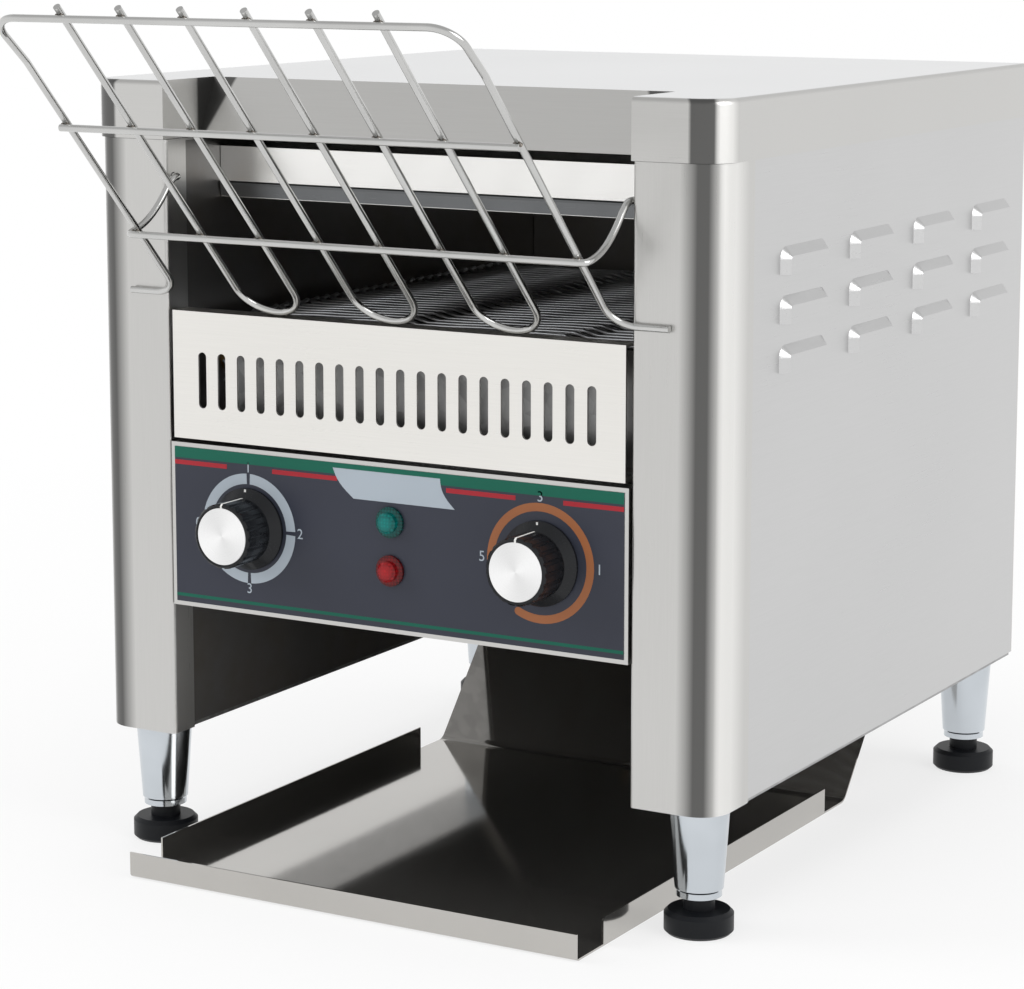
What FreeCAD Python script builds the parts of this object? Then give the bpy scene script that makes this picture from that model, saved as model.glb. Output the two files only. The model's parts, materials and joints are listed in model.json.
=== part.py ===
import FreeCAD, Part
import math
import os
import re

import Sketcher
from FreeCAD import Placement, Rotation, Vector

# Conveyor toaster with a ten inch flat-flex wire belt.
# Millimetres and degrees. X runs to the viewer's right, Y runs from the front to the back, Z runs up.
# The origin is on the counter, in the middle of the whole toaster's footprint.
# Sub-parts are laid out from the middle of the housing, and a common shift puts that layout in the frame.

SIZES = {
    # housing
    "BodyWide": 368.0,
    "BodyDeep": 393.6,
    "Skin": 1.2,
    "Gap": 0.3,
    "PostFoot": 66.0,
    "PostTop": 383.2,
    "PostWide": 47.0,
    "PostDeep": 36.5,
    "PostReturn": 18.0,
    "CornerRound": 16.0,
    "BendRound": 2.5,
    "SideFoot": 68.0,
    "SideTop": 396.0,
    "WallFoot": 68.5,
    "WallTop": 382.0,
    "WallLap": 6.0,
    "PanHigh": 14.0,
    # lid
    "LidBottom": 383.5,
    "LidTop": 414.0,
    "LidOverhang": 1.6,
    "LidRound": 3.0,
    "HoodSetback": 44.1,
    "HoodTilt": 22.8,
    # louvres and vents
    "LouvreWide": 55.0,
    "LouvreHigh": 14.5,
    "LouvreBulge": 4.0,
    "LouvreSlope": 50.0,
    "LouvreRound": 7.0,
    "LouvreRows": 3,
    "LouvreColumns": 4,
    "LouvreRowPitch": 24.4,
    "LouvreColumnPitch": 83.3,
    "LouvreFirstY": -104.0,
    "LouvreFirstZ": 276.0,
    "VentCount": 9,
    "VentPitch": 30.0,
    "VentWide": 5.0,
    "VentLong": 40.0,
    "VentZ": 340.0,
    # front panels
    "GrilleInset": 3.0,
    "GrilleBottom": 227.3,
    "GrilleTop": 294.7,
    "GrilleFlange": 14.0,
    "SlotCount": 20,
    "SlotPitch": 12.15,
    "SlotWide": 5.0,
    "SlotBottom": 244.0,
    "SlotTop": 273.5,
    "ShieldSetback": 15.0,
    "ShieldShort": 26.0,
    "ShieldEdge": 5.0,
    "PanelInset": 1.0,
    "PanelBottom": 137.5,
    "PanelTop": 225.0,
    "PanelFlange": 12.0,
    "OverlayMargin": 2.3,
    "OverlayThick": 0.4,
    "ControlDeep": 46.0,
    "ScrewHead": 7.0,
    "ScrewHigh": 2.0,
    "PanelScrewPitch": 105.0,
    "RearScrewInset": 12.0,
    "RearScrewSpanZ": 120.0,
    "RearScrewMidZ": 230.0,
    # dials and lamps
    "KnobX": 87.0,
    "KnobZ": 183.0,
    "KnobRadius": 17.0,
    "KnobSkirt": 21.5,
    "KnobSkirtThick": 2.8,
    "KnobHigh": 24.5,
    "KnobFlutes": 20,
    "FluteRadius": 1.6,
    "CapRadius": 14.8,
    "CapThick": 1.0,
    "SpindleRadius": 3.0,
    "SwitchHalf": 20.0,
    "SwitchDeep": 24.0,
    "LampFlange": 8.0,
    "LampDome": 5.4,
    "LampReach": 6.0,
    "LampBarrel": 4.8,
    "LampDeep": 16.0,
    "LampUpperZ": 195.0,
    "LampLowerZ": 170.0,
    # legs
    "LegInset": 21.0,
    "LegFrontY": 171.0,
    "LegRearY": 177.0,
    "LegTopRadius": 15.0,
    "LegFootRadius": 11.5,
    "LegBottom": 19.0,
    "LegStud": 4.0,
    "LegStudHigh": 14.0,
    "NutFlats": 13.0,
    "NutHigh": 6.5,
    "FootRadius": 17.5,
    "FootHigh": 12.0,
    "FootNeck": 8.0,
    "FootStem": 13.0,
    "FootTravel": 10.0,
    # tray
    "TrayInset": 3.6,
    "TraySkin": 1.0,
    "TrayLift": 0.3,
    "TrayFront": 243.0,
    "TrayLip": 13.8,
    "TraySideStart": 215.7,
    "TraySideEnd": 45.0,
    "TraySideHigh": 14.5,
    "TrayBend": 72.0,
    "TraySlope": 49.0,
    "TraySlideHigh": 128.0,
    "TrayBendRound": 8.0,
    # rear chute
    "ChuteSetback": 3.5,
    "ChuteTop": 332.0,
    "ChuteBend": 178.0,
    # loading rack
    "RackWire": 3.6,
    "RackTilt": 46.0,
    "RackLength": 207.6,
    "RackInset": 9.0,
    "RackStubReach": 158.4,
    "RackStubZ": 304.2,
    "RackCorner": 14.0,
    "RackTopBend": 34.0,
    "RackUpperRod": 130.6,
    "RackLowerRod": 50.6,
    "RackWeld": 0.05,
    "LoopPitch": 70.4,
    "LoopHalf": 17.7,
    "LoopFoot": 10.0,
    "LoopStand": 4.5,
    "HookY": 190.0,
    "HookZ": 364.0,
    "HookArmInset": 3.5,
    "HookPin": 5.0,
    "HookRound": 4.5,
    # belt and its shafts
    "BeltPitch": 10.0,
    "BeltTeeth": 16,
    "BeltStraights": 26,
    "BeltInset": 9.5,
    "BeltSpans": 5,
    "BeltWire": 2.0,
    "BeltHook": 4.2,
    "BeltWave": 1.5,
    "BeltOffset": 2.4,
    "BeltTopZ": 288.0,
    "FrontShaftY": 140.0,
    "ShaftRadius": 5.0,
    "ShaftOverrun": 4.5,
    "SprocketThick": 5.0,
    "SprocketHub": 9.0,
    "SprocketHubLong": 14.0,
    "ToothClear": 0.3,
    "BushRadius": 8.0,
    "BushFlange": 12.0,
    "BushFlangeThick": 2.5,
    "BushInside": 3.0,
    "BearingFit": 0.1,
    # reflectors and heating elements
    "HoodFlangeY": 146.0,
    "ReflectorTop": 377.0,
    "ReflectorFlange": 27.0,
    "ReflectorRearY": 150.0,
    "LowerReflectorZ": 254.0,
    "LowerReflectorHalf": 88.0,
    "LowerReflectorRise": 8.0,
    "ElementRadius": 4.0,
    "UpperElementZ": 362.0,
    "UpperElementPitch": 92.0,
    "LowerElementZ": 270.0,
    "LowerElementPitch": 96.0,
    "ElementBush": 7.0,
    "ElementBushLong": 9.0,
    "TerminalLong": 10.0,
    "TerminalRadius": 1.8,
    # chain drive
    "ChainPitch": 6.35,
    "ChainLinks": 58,
    "ChainSetoff": 10.6,
    "ChainWide": 6.0,
    "ChainPlate": 0.8,
    "ChainHigh": 5.6,
    "ChainRoller": 1.6,
    "ChainToothClear": 0.6,
    "ChainToothHigh": 0.7,
    "MotorTeeth": 9,
    "DriveTeeth": 20,
    "ChainSprocketThick": 2.6,
    "MotorY": 38.0,
    "MotorShaft": 4.0,
    "MotorPlateThick": 1.6,
    "MotorPlateHalf": 40.0,
    "BracketClear": 3.0,
    "SpacerInset": 6.0,
    "SpacerRadius": 4.0,
    "MotorShaftIn": 12.0,
    "GearboxDeep": 20.0,
    "GearboxHalfLong": 28.0,
    "GearboxHalfHigh": 34.0,
    "GearboxRound": 6.0,
    "MotorDeep": 18.0,
    "MotorLong": 44.0,
    "MotorHalfHigh": 26.0,
    # cooling fan
    "FanY": 62.6,
    "FanZ": 308.0,
    "FanHalf": 40.0,
    "FanDeep": 25.0,
    "FanBore": 37.5,
    "FanHub": 15.0,
    "FanBlades": 7,
    "FanTip": 36.5,
    # terminal block and cord gland
    "BlockY": 150.0,
    "GlandInset": 34.0,
    "GlandZ": 110.0,
    "GlandNose": 14.0,
    "GlandRadius": 10.0,
    "GlandFlange": 13.0,
    "GlandBore": 4.5,
}

doc = FreeCAD.newDocument("conveyor_toaster")
sheet = doc.addObject("Spreadsheet::Sheet", "Sizes")
for row, (alias, number) in enumerate(SIZES.items(), start=1):
    sheet.set(f"A{row}", alias)
    sheet.set(f"B{row}", str(number))
    sheet.setAlias(f"B{row}", alias)
doc.recompute()

SUBPARTS = []
LEFT, RIGHT = -1, 1
SIDES = {"left": LEFT, "right": RIGHT}

# Places that several sub-parts share, as expressions of the sheet's sizes
FRONT = "(-BodyDeep/2)"
REAR = "(BodyDeep/2)"
HALF = "(BodyWide/2)"
INNER = "(BodyWide/2-PostWide)"
WALL = "(BodyWide/2-PostWide+Skin)"
GRILLE_HALF = "(BodyWide/2-PostWide-GrilleInset)"
PANEL_HALF = "(BodyWide/2-PostWide-PanelInset)"
TRAY_HALF = "(BodyWide/2-PostWide-TrayInset)"
RACK_HALF = "(BodyWide/2-PostWide-RackInset)"
BELT_HALF = "(BodyWide/2-PostWide-BeltInset)"
HOOK_ARM = "(BodyWide/2-PostWide-HookArmInset)"
CHAIN_X = "(BodyWide/2-PostWide+2*Skin+ChainSetoff)"
LEG_X = "(BodyWide/2-LegInset)"
GLAND_X = "(BodyWide/2-GlandInset)"
SHAFT_Z = "(BeltTopZ-BeltPitch/2/sin(180/BeltTeeth))"
REAR_SHAFT_Y = "(BeltPitch*BeltStraights-FrontShaftY)"
STUB_Y = "(-BodyDeep/2-RackWire/2-Gap)"
FRAME_SHIFT = "((RackWire+Gap+RackLength*cos(RackTilt)-GlandNose)/2)"


def bound(text):
    """An expression with each size's name pointing at its cell."""
    return re.sub(r"[A-Za-z]\w*", lambda m: "Sizes." + m[0] if m[0] in SIZES else m[0], str(text))


def number(text):
    """The value of an expression now."""
    return float(sheet.evalExpression(bound(text)))


def mirrored(side, low, high):
    """A span along X on one side of the middle."""
    if side == RIGHT:
        return f"({low})", f"({high})"
    return f"(-({high}))", f"(-({low}))"


def place(piece, x="0", y="0", z="0", rotation=None):
    """Put a sub-part at its place in the frame, in the housing's layout."""
    if rotation:
        piece.Placement = Placement(Vector(), rotation)
    piece.setExpression("Placement.Base.x", bound(x))
    piece.setExpression("Placement.Base.y", bound(f"{y}+{FRAME_SHIFT}"))
    piece.setExpression("Placement.Base.z", bound(z))


def new_body(name):
    body = doc.addObject("PartDesign::Body", name)
    body.Label = name
    SUBPARTS.append(body)
    return body


def new_feature(name, shape):
    """A sub-part whose shape is worked out here, in the housing's layout."""
    piece = doc.addObject("Part::Feature", name)
    piece.Label = name
    piece.Shape = shape
    piece.Placement = Placement(Vector(0, number(FRAME_SHIFT), 0), Rotation())
    SUBPARTS.append(piece)
    return piece


def sketch_across(body, axis, station):
    """A sketch on the plane across one axis, at a station along it."""
    role = {"x": "YZ_Plane", "y": "XZ_Plane", "z": "XY_Plane"}[axis]
    sketch = body.newObject("Sketcher::SketchObject", "Sketch")
    plane = next(f for f in body.Origin.OriginFeatures if getattr(f, "Role", "") == role)
    sketch.AttachmentSupport = [(plane, "")]
    sketch.MapMode = "FlatFace"
    sign = "-" if axis == "y" else ""
    sketch.setExpression("AttachmentOffset.Base.z", bound(f"{sign}({station})"))
    return sketch


def pin_point(sketch, geometry, end, u, v):
    """Bind one point of a sketch to a pair of expressions."""
    for kind, text in (("DistanceX", u), ("DistanceY", v)):
        index = sketch.addConstraint(Sketcher.Constraint(kind, geometry, end, number(text)))
        sketch.setExpression(f"Constraints[{index}]", bound(text))


def polygon(*corners):
    def draw(sketch):
        points = [Vector(number(u), number(v), 0) for u, v in corners]
        count = len(points)
        first = sketch.GeometryCount
        for i in range(count):
            sketch.addGeometry(Part.LineSegment(points[i], points[(i + 1) % count]), False)
        for i in range(count):
            sketch.addConstraint(Sketcher.Constraint("Coincident", first + i, 2, first + (i + 1) % count, 1))
        for i, (u, v) in enumerate(corners):
            pin_point(sketch, first + i, 1, u, v)
    return draw


def rectangle(u_low, v_low, u_high, v_high):
    return polygon((u_low, v_low), (u_high, v_low), (u_high, v_high), (u_low, v_high))


def disc(u, v, radius):
    def draw(sketch):
        centre = Vector(number(u), number(v), 0)
        circle = sketch.addGeometry(Part.Circle(centre, Vector(0, 0, 1), number(radius)), False)
        pin_point(sketch, circle, 3, u, v)
        index = sketch.addConstraint(Sketcher.Constraint("Radius", circle, number(radius)))
        sketch.setExpression(f"Constraints[{index}]", bound(radius))
    return draw


def upright_slot(u, v_low, v_high, wide):
    """A vertical slot with round ends, between its lowest and highest points."""
    def draw(sketch):
        radius = f"({wide})/2"
        low, high = f"({v_low})+{radius}", f"({v_high})-{radius}"
        centre_low = Vector(number(u), number(low), 0)
        centre_high = Vector(number(u), number(high), 0)
        reach = Vector(number(radius), 0, 0)
        up = Vector(0, 0, 1)
        first = sketch.GeometryCount
        bottom = Part.ArcOfCircle(Part.Circle(centre_low, up, reach.x), math.pi, 2 * math.pi)
        top = Part.ArcOfCircle(Part.Circle(centre_high, up, reach.x), 0, math.pi)
        sketch.addGeometry(bottom, False)
        sketch.addGeometry(Part.LineSegment(centre_low + reach, centre_high + reach), False)
        sketch.addGeometry(top, False)
        sketch.addGeometry(Part.LineSegment(centre_high - reach, centre_low - reach), False)
        for geometry, follower in ((0, 1), (1, 2), (2, 3), (3, 0)):
            sketch.addConstraint(Sketcher.Constraint("Tangent", first + geometry, 2, first + follower, 1))
        for arc, height in ((first, low), (first + 2, high)):
            pin_point(sketch, arc, 3, u, height)
            index = sketch.addConstraint(Sketcher.Constraint("Radius", arc, reach.x))
            sketch.setExpression(f"Constraints[{index}]", bound(radius))
    return draw


def arched(u_low, v_low, u_high, v_high, radius):
    """A rectangle whose two upper corners are round."""
    def draw(sketch):
        low, high = Vector(number(u_low), number(v_low), 0), Vector(number(u_high), number(v_high), 0)
        round_by = number(radius)
        up = Vector(0, 0, 1)
        right = Vector(high.x - round_by, high.y - round_by, 0)
        left = Vector(low.x + round_by, high.y - round_by, 0)
        first = sketch.GeometryCount
        corner = Vector(high.x, low.y, 0)
        sketch.addGeometry(Part.LineSegment(low, corner), False)
        sketch.addGeometry(Part.LineSegment(corner, Vector(high.x, right.y, 0)), False)
        sketch.addGeometry(Part.ArcOfCircle(Part.Circle(right, up, round_by), 0, math.pi / 2), False)
        sketch.addGeometry(Part.LineSegment(Vector(right.x, high.y, 0), Vector(left.x, high.y, 0)), False)
        sketch.addGeometry(Part.ArcOfCircle(Part.Circle(left, up, round_by), math.pi / 2, math.pi), False)
        sketch.addGeometry(Part.LineSegment(Vector(low.x, left.y, 0), low), False)
        for join, follower in ((0, 1), (5, 0)):
            sketch.addConstraint(Sketcher.Constraint("Coincident", first + join, 2, first + follower, 1))
        for join in (1, 2, 3, 4):
            sketch.addConstraint(Sketcher.Constraint("Tangent", first + join, 2, first + join + 1, 1))
        pin_point(sketch, first, 1, u_low, v_low)
        pin_point(sketch, first, 2, u_high, v_low)
        middle = f"({v_high})-({radius})"
        for arc, u in ((first + 2, f"({u_high})-({radius})"), (first + 4, f"({u_low})+{radius}")):
            pin_point(sketch, arc, 3, u, middle)
            index = sketch.addConstraint(Sketcher.Constraint("Radius", arc, round_by))
            sketch.setExpression(f"Constraints[{index}]", bound(radius))
    return draw


def add(body, axis, low, high, *drawings):
    """Add material between two stations along an axis."""
    sketch = sketch_across(body, axis, high if axis == "y" else low)
    for draw in drawings:
        draw(sketch)
    pad = body.newObject("PartDesign::Pad", "Pad")
    pad.Profile = sketch
    pad.setExpression("Length", bound(f"({high})-({low})"))
    return pad


def cut(body, axis, low, high, *drawings):
    """Cut material away between two stations along an axis."""
    doc.recompute()
    before = body.Shape.Volume
    sketch = sketch_across(body, axis, low if axis == "y" else high)
    for draw in drawings:
        draw(sketch)
    pocket = body.newObject("PartDesign::Pocket", "Pocket")
    pocket.Profile = sketch
    pocket.setExpression("Length", bound(f"({high})-({low})"))
    doc.recompute()
    if not body.Shape.Volume < before - 1e-6:
        raise RuntimeError(f"a cut in {body.Label} removes nothing")
    return pocket


def turned(body, *outline):
    """A solid of revolution about the body's own Z, from its outline of radius and height."""
    sketch = sketch_across(body, "y", "0")
    polygon(*outline)(sketch)
    revolution = body.newObject("PartDesign::Revolution", "Revolution")
    revolution.Profile = sketch
    revolution.ReferenceAxis = (sketch, ["V_Axis"])
    revolution.Angle = 360
    return revolution


def edges_of(body, wanted):
    doc.recompute()
    return [f"Edge{i}" for i, edge in enumerate(body.Shape.Edges, start=1) if wanted(edge)]


def faces_of(body, wanted):
    doc.recompute()
    return [f"Face{i}" for i, face in enumerate(body.Shape.Faces, start=1) if wanted(face)]


def dress(body, kind, size, names):
    """Fillet or chamfer the named edges of the body."""
    if not names:
        raise RuntimeError(f"no edge to {kind.lower()} in {body.Label}")
    base = body.Tip
    feature = body.newObject(f"PartDesign::{kind}", kind)
    feature.Base = (base, names)
    feature.setExpression("Radius" if kind == "Fillet" else "Size", bound(size))
    return feature


def shell(body, thick, names):
    """Hollow the body to a skin, open at the named faces."""
    if not names:
        raise RuntimeError(f"no open face in {body.Label}")
    base = body.Tip
    feature = body.newObject("PartDesign::Thickness", "Thickness")
    feature.Base = (base, names)
    feature.setExpression("Value", bound(thick))
    feature.Reversed = True
    feature.Join = 1
    return feature


def array(body, features, sketch, direction, length, count, second=None):
    """Repeat features along one or two directions of a sketch."""
    pattern = body.newObject("PartDesign::LinearPattern", "LinearPattern")
    pattern.Originals = features
    pattern.Direction = (sketch, [direction])
    pattern.setExpression("Length", bound(length))
    pattern.setExpression("Occurrences", bound(count))
    if second:
        pattern.Direction2 = (sketch, [second[0]])
        pattern.setExpression("Length2", bound(second[1]))
        pattern.setExpression("Occurrences2", bound(second[2]))
    body.Tip = pattern
    return pattern


def ring_array(body, features, sketch, count):
    """Repeat features round the normal of a sketch."""
    pattern = body.newObject("PartDesign::PolarPattern", "PolarPattern")
    pattern.Originals = features
    pattern.Axis = (sketch, ["N_Axis"])
    pattern.Angle = 360
    pattern.setExpression("Occurrences", bound(count))
    body.Tip = pattern
    return pattern


def at(value, text, slack=0.01):
    return abs(value - number(text)) < slack


def upright_edge(edge):
    ends = [vertex.Point for vertex in edge.Vertexes]
    return len(ends) == 2 and ends[0].sub(ends[1]).cross(Vector(0, 0, 1)).Length < 1e-6


def corner_post(name, side):
    """Front corner post: a bent channel that closes the front of a side compartment."""
    post = new_body(name)
    x_low, x_high = mirrored(side, INNER, HALF)
    back = f"{FRONT}+PostDeep"
    add(post, "z", "PostFoot", "PostTop", rectangle(x_low, FRONT, x_high, back))
    outer, inner = f"{side}*{HALF}", f"{side}*{INNER}"
    front_edges = lambda x: edges_of(post, lambda e: upright_edge(e)
                                     and at(e.CenterOfMass.x, x) and at(e.CenterOfMass.y, FRONT))
    dress(post, "Fillet", "CornerRound", front_edges(outer))
    dress(post, "Fillet", "BendRound", front_edges(inner))
    shell(post, "Skin", faces_of(post, lambda f: at(f.CenterOfMass.y, back)
                                 or at(f.CenterOfMass.z, "PostFoot")))
    flange_low, flange_high = mirrored(side, f"{INNER}-Skin", WALL)
    cut(post, "x", flange_low, flange_high,
        rectangle(f"{FRONT}+PostReturn", "PostFoot-Skin", f"{back}+Skin", "PostTop-Skin"))
    cut(post, "x", flange_low, flange_high, disc("-HookY", "HookZ", "RackWire/2+Gap"))
    place(post)


def drafted(body, kind, side, start, rise, draw):
    """A pad or pocket across X, outward from a station, whose sides draw in at the louvres' slope."""
    sketch = sketch_across(body, "x", f"{side}*({start})")
    draw(sketch)
    feature = body.newObject(f"PartDesign::{kind}", kind)
    feature.Profile = sketch
    feature.Reversed = (kind == "Pad") == (side == LEFT)
    feature.setExpression("Length", bound(rise))
    feature.setExpression("TaperAngle", bound("-LouvreSlope"))
    return feature


def side_panel(name, side):
    """Outer side sheet with rows of pressed louvres, open at their lower edges."""
    panel = new_body(name)
    x_low, x_high = mirrored(side, f"{HALF}-Skin", HALF)
    add(panel, "x", x_low, x_high,
        rectangle(f"{FRONT}+PostDeep", "SideFoot", f"{REAR}-Skin", "SideTop"))
    rise = "(LouvreBulge+Skin/2)"
    draft = f"{rise}*tan(LouvreSlope)"
    y_low, y_high = "LouvreFirstY-LouvreWide/2", "LouvreFirstY+LouvreWide/2"
    top = "LouvreFirstZ+LouvreHigh"
    hood = drafted(panel, "Pad", side, f"{HALF}-Skin/2", rise,
                   arched(y_low, f"LouvreFirstZ-{draft}", y_high, top, "LouvreRound"))
    face, crest = f"{side}*{HALF}", f"{side}*({HALF}+LouvreBulge+Gap)"
    trim = cut(panel, "z", f"LouvreFirstZ-{draft}-Gap", "LouvreFirstZ",
               rectangle(face, f"{y_low}-Gap", crest, f"{y_high}+Gap"))
    hollow = drafted(panel, "Pocket", side, f"{HALF}-3*Skin/2", rise,
                     arched(y_low, "LouvreFirstZ", y_high, top, "LouvreRound"))
    inside, lip = f"{side}*({HALF}-Skin-Gap)", f"{side}*({HALF}+LouvreBulge-Skin)"
    mouth = cut(panel, "z", "LouvreFirstZ-Gap", f"LouvreFirstZ+{draft}",
                polygon((inside, f"{y_low}+Skin"), (lip, f"{y_low}+Skin+{draft}"),
                        (lip, f"{y_high}-Skin-{draft}"), (inside, f"{y_high}-Skin")))
    grid = sketch_across(panel, "x", face)
    array(panel, [hood, trim, hollow, mouth], grid, "H_Axis", "LouvreColumnPitch*(LouvreColumns-1)",
          "LouvreColumns", ("V_Axis", "LouvreRowPitch*(LouvreRows-1)", "LouvreRows"))
    place(panel)


def inner_wall(name, side):
    """Wall between the toasting tunnel and a side compartment, with its shaft and element holes."""
    wall = new_body(name)
    x_low, x_high = mirrored(side, WALL, f"{WALL}+Skin")
    add(wall, "x", x_low, x_high,
        rectangle(f"{FRONT}+PostReturn-WallLap", "WallFoot", f"{REAR}-Skin", "WallTop"))
    bush_hole = "BushRadius+BearingFit"
    cut(wall, "x", f"{x_low}-Gap", f"{x_high}+Gap", disc("-FrontShaftY", SHAFT_Z, bush_hole),
        disc(REAR_SHAFT_Y, SHAFT_Z, bush_hole))
    element_hole = "ElementBush+BearingFit"
    cut(wall, "x", f"{x_low}-Gap", f"{x_high}+Gap",
        *[disc(f"{row}*UpperElementPitch", "UpperElementZ", element_hole) for row in (-1, 0, 1)],
        *[disc(f"{row}*LowerElementPitch/2", "LowerElementZ", element_hole) for row in (-1, 1)])
    place(wall)


def base_pan(name, side):
    """Shallow pan that closes the bottom of a side compartment and takes the legs."""
    pan = new_body(name)
    x_low, x_high = mirrored(side, f"{WALL}+Skin", f"{HALF}-Skin")
    add(pan, "z", "PostFoot", "PostFoot+PanHigh",
        rectangle(x_low, f"{FRONT}+Skin", x_high, f"{REAR}-Skin"))
    dress(pan, "Fillet", "CornerRound-Skin",
          edges_of(pan, lambda e: upright_edge(e) and at(e.CenterOfMass.x, f"{side}*({HALF}-Skin)")
                   and at(e.CenterOfMass.y, f"{FRONT}+Skin")))
    shell(pan, "Skin", faces_of(pan, lambda f: at(f.CenterOfMass.z, "PostFoot+PanHigh")))
    hole = "LegStud+Gap"
    cut(pan, "z", "PostFoot-Gap", "PostFoot+Skin+Gap", disc(f"{side}*{LEG_X}", "-LegFrontY", hole),
        disc(f"{side}*{LEG_X}", "LegRearY", hole))
    place(pan)


def rear_panel():
    """Back sheet with a row of vent slots and the gland's hole."""
    panel = new_body("rear_panel")
    add(panel, "y", f"{REAR}-Skin", REAR, rectangle(f"-{HALF}", "SideFoot", HALF, "SideTop"))
    vent = cut(panel, "y", f"{REAR}-Skin-Gap", f"{REAR}+Gap",
               upright_slot("-VentPitch*(VentCount-1)/2", "VentZ-VentLong/2", "VentZ+VentLong/2",
                            "VentWide"))
    array(panel, [vent], vent.Profile[0], "H_Axis", "VentPitch*(VentCount-1)", "VentCount")
    cut(panel, "y", f"{REAR}-Skin-Gap", f"{REAR}+Gap",
        disc(f"-{GLAND_X}", "GlandZ", "GlandRadius+BearingFit"))
    place(panel)


def lid():
    """Top cover with a rim all round, set back in the middle of its front as a sloping hood."""
    cover = new_body("lid")
    half_x, half_y = f"{HALF}+LidOverhang", f"{REAR}+LidOverhang"
    add(cover, "z", "LidBottom", "LidTop",
        rectangle(f"-({half_x})", f"-({half_y})", half_x, half_y))
    at_front = lambda edge: edge.CenterOfMass.y < 0
    dress(cover, "Fillet", "CornerRound+LidOverhang",
          edges_of(cover, lambda e: upright_edge(e) and at_front(e)))
    dress(cover, "Fillet", "BendRound", edges_of(cover, lambda e: upright_edge(e)
                                                 and at(e.CenterOfMass.y, half_y)))
    rim = edges_of(cover, lambda e: at(e.CenterOfMass.z, "LidTop"))
    dress(cover, "Fillet", "LidRound", rim)
    front = f"-({half_y})-Skin"
    hood_top = f"{FRONT}+HoodSetback"
    hood_low = f"{hood_top}-(LidTop-LidBottom+Skin)*tan(HoodTilt)"
    cut(cover, "x", f"-{INNER}", INNER,
        polygon((front, "LidBottom-Skin"), (hood_low, "LidBottom-Skin"), (hood_top, "LidTop"),
                (hood_top, "LidTop+Skin"), (front, "LidTop+Skin")))
    shell(cover, "Skin", faces_of(cover, lambda f: at(f.CenterOfMass.z, "LidBottom")))
    place(cover)


def slotted_front():
    """Front sheet under the bread mouth: a row of upright slots, flanged back at top and bottom."""
    front = new_body("slotted_front_panel")
    add(front, "y", FRONT, f"{FRONT}+GrilleFlange",
        rectangle(f"-{GRILLE_HALF}", "GrilleBottom", GRILLE_HALF, "GrilleTop"))
    shell(front, "Skin", faces_of(front, lambda f: at(f.CenterOfMass.y, f"{FRONT}+GrilleFlange")
                                  or at(abs(f.CenterOfMass.x), GRILLE_HALF)))
    slot = cut(front, "y", f"{FRONT}-Gap", f"{FRONT}+Skin+Gap",
               upright_slot("-SlotPitch*(SlotCount-1)/2", "SlotBottom", "SlotTop", "SlotWide"))
    array(front, [slot], slot.Profile[0], "H_Axis", "SlotPitch*(SlotCount-1)", "SlotCount")
    place(front)


def heat_shield():
    """Galvanised sheet behind the slots, fixed to the flanges and one wall."""
    sheet_metal = new_body("heat_shield")
    face = f"{FRONT}+ShieldSetback"
    add(sheet_metal, "y", face, f"{face}+Skin",
        rectangle(f"-({GRILLE_HALF}-ShieldShort)", "GrilleBottom+ShieldEdge", f"{INNER}-Gap",
                  "GrilleTop-ShieldEdge"))
    place(sheet_metal)


def control_panel():
    """Front control panel, flanged back all round, with holes for the dials and lamps."""
    panel = new_body("control_panel")
    add(panel, "y", FRONT, f"{FRONT}+PanelFlange",
        rectangle(f"-{PANEL_HALF}", "PanelBottom", PANEL_HALF, "PanelTop"))
    shell(panel, "Skin", faces_of(panel, lambda f: at(f.CenterOfMass.y, f"{FRONT}+PanelFlange")))
    cut(panel, "y", f"{FRONT}-Gap", f"{FRONT}+Skin+Gap", *control_holes())
    place(panel)


def control_holes():
    spindle, barrel = "SpindleRadius+Gap", "LampBarrel+Gap"
    return [disc("-KnobX", "KnobZ", spindle), disc("KnobX", "KnobZ", spindle),
            disc("0", "LampUpperZ", barrel), disc("0", "LampLowerZ", barrel)]


def control_overlay():
    """Thin printed sheet stuck to the control panel's face."""
    overlay = new_body("control_overlay")
    margin = "OverlayMargin"
    add(overlay, "y", f"{FRONT}-OverlayThick", FRONT,
        rectangle(f"-({PANEL_HALF}-{margin})", f"PanelBottom+{margin}",
                  f"{PANEL_HALF}-{margin}", f"PanelTop-{margin}"), *control_holes())
    place(overlay)


def control_shield():
    """Bent sheet under and behind the controls, which keeps the toast and the heat away."""
    guard = new_body("control_shield")
    back, rise = f"{FRONT}+ControlDeep", "PanelTop-Skin"
    add(guard, "x", f"-({INNER}-Gap)", f"{INNER}-Gap",
        polygon((f"{FRONT}+PostReturn-WallLap+Gap", "PanelBottom-Skin"), (back, "PanelBottom-Skin"),
                (back, rise), (f"{back}-Skin", rise), (f"{back}-Skin", "PanelBottom"),
                (f"{FRONT}+PostReturn-WallLap+Gap", "PanelBottom")))
    dress(guard, "Fillet", "BendRound",
          edges_of(guard, lambda e: at(e.CenterOfMass.y, back) and at(e.CenterOfMass.z,
                                                                      "PanelBottom-Skin")))
    place(guard)


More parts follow.
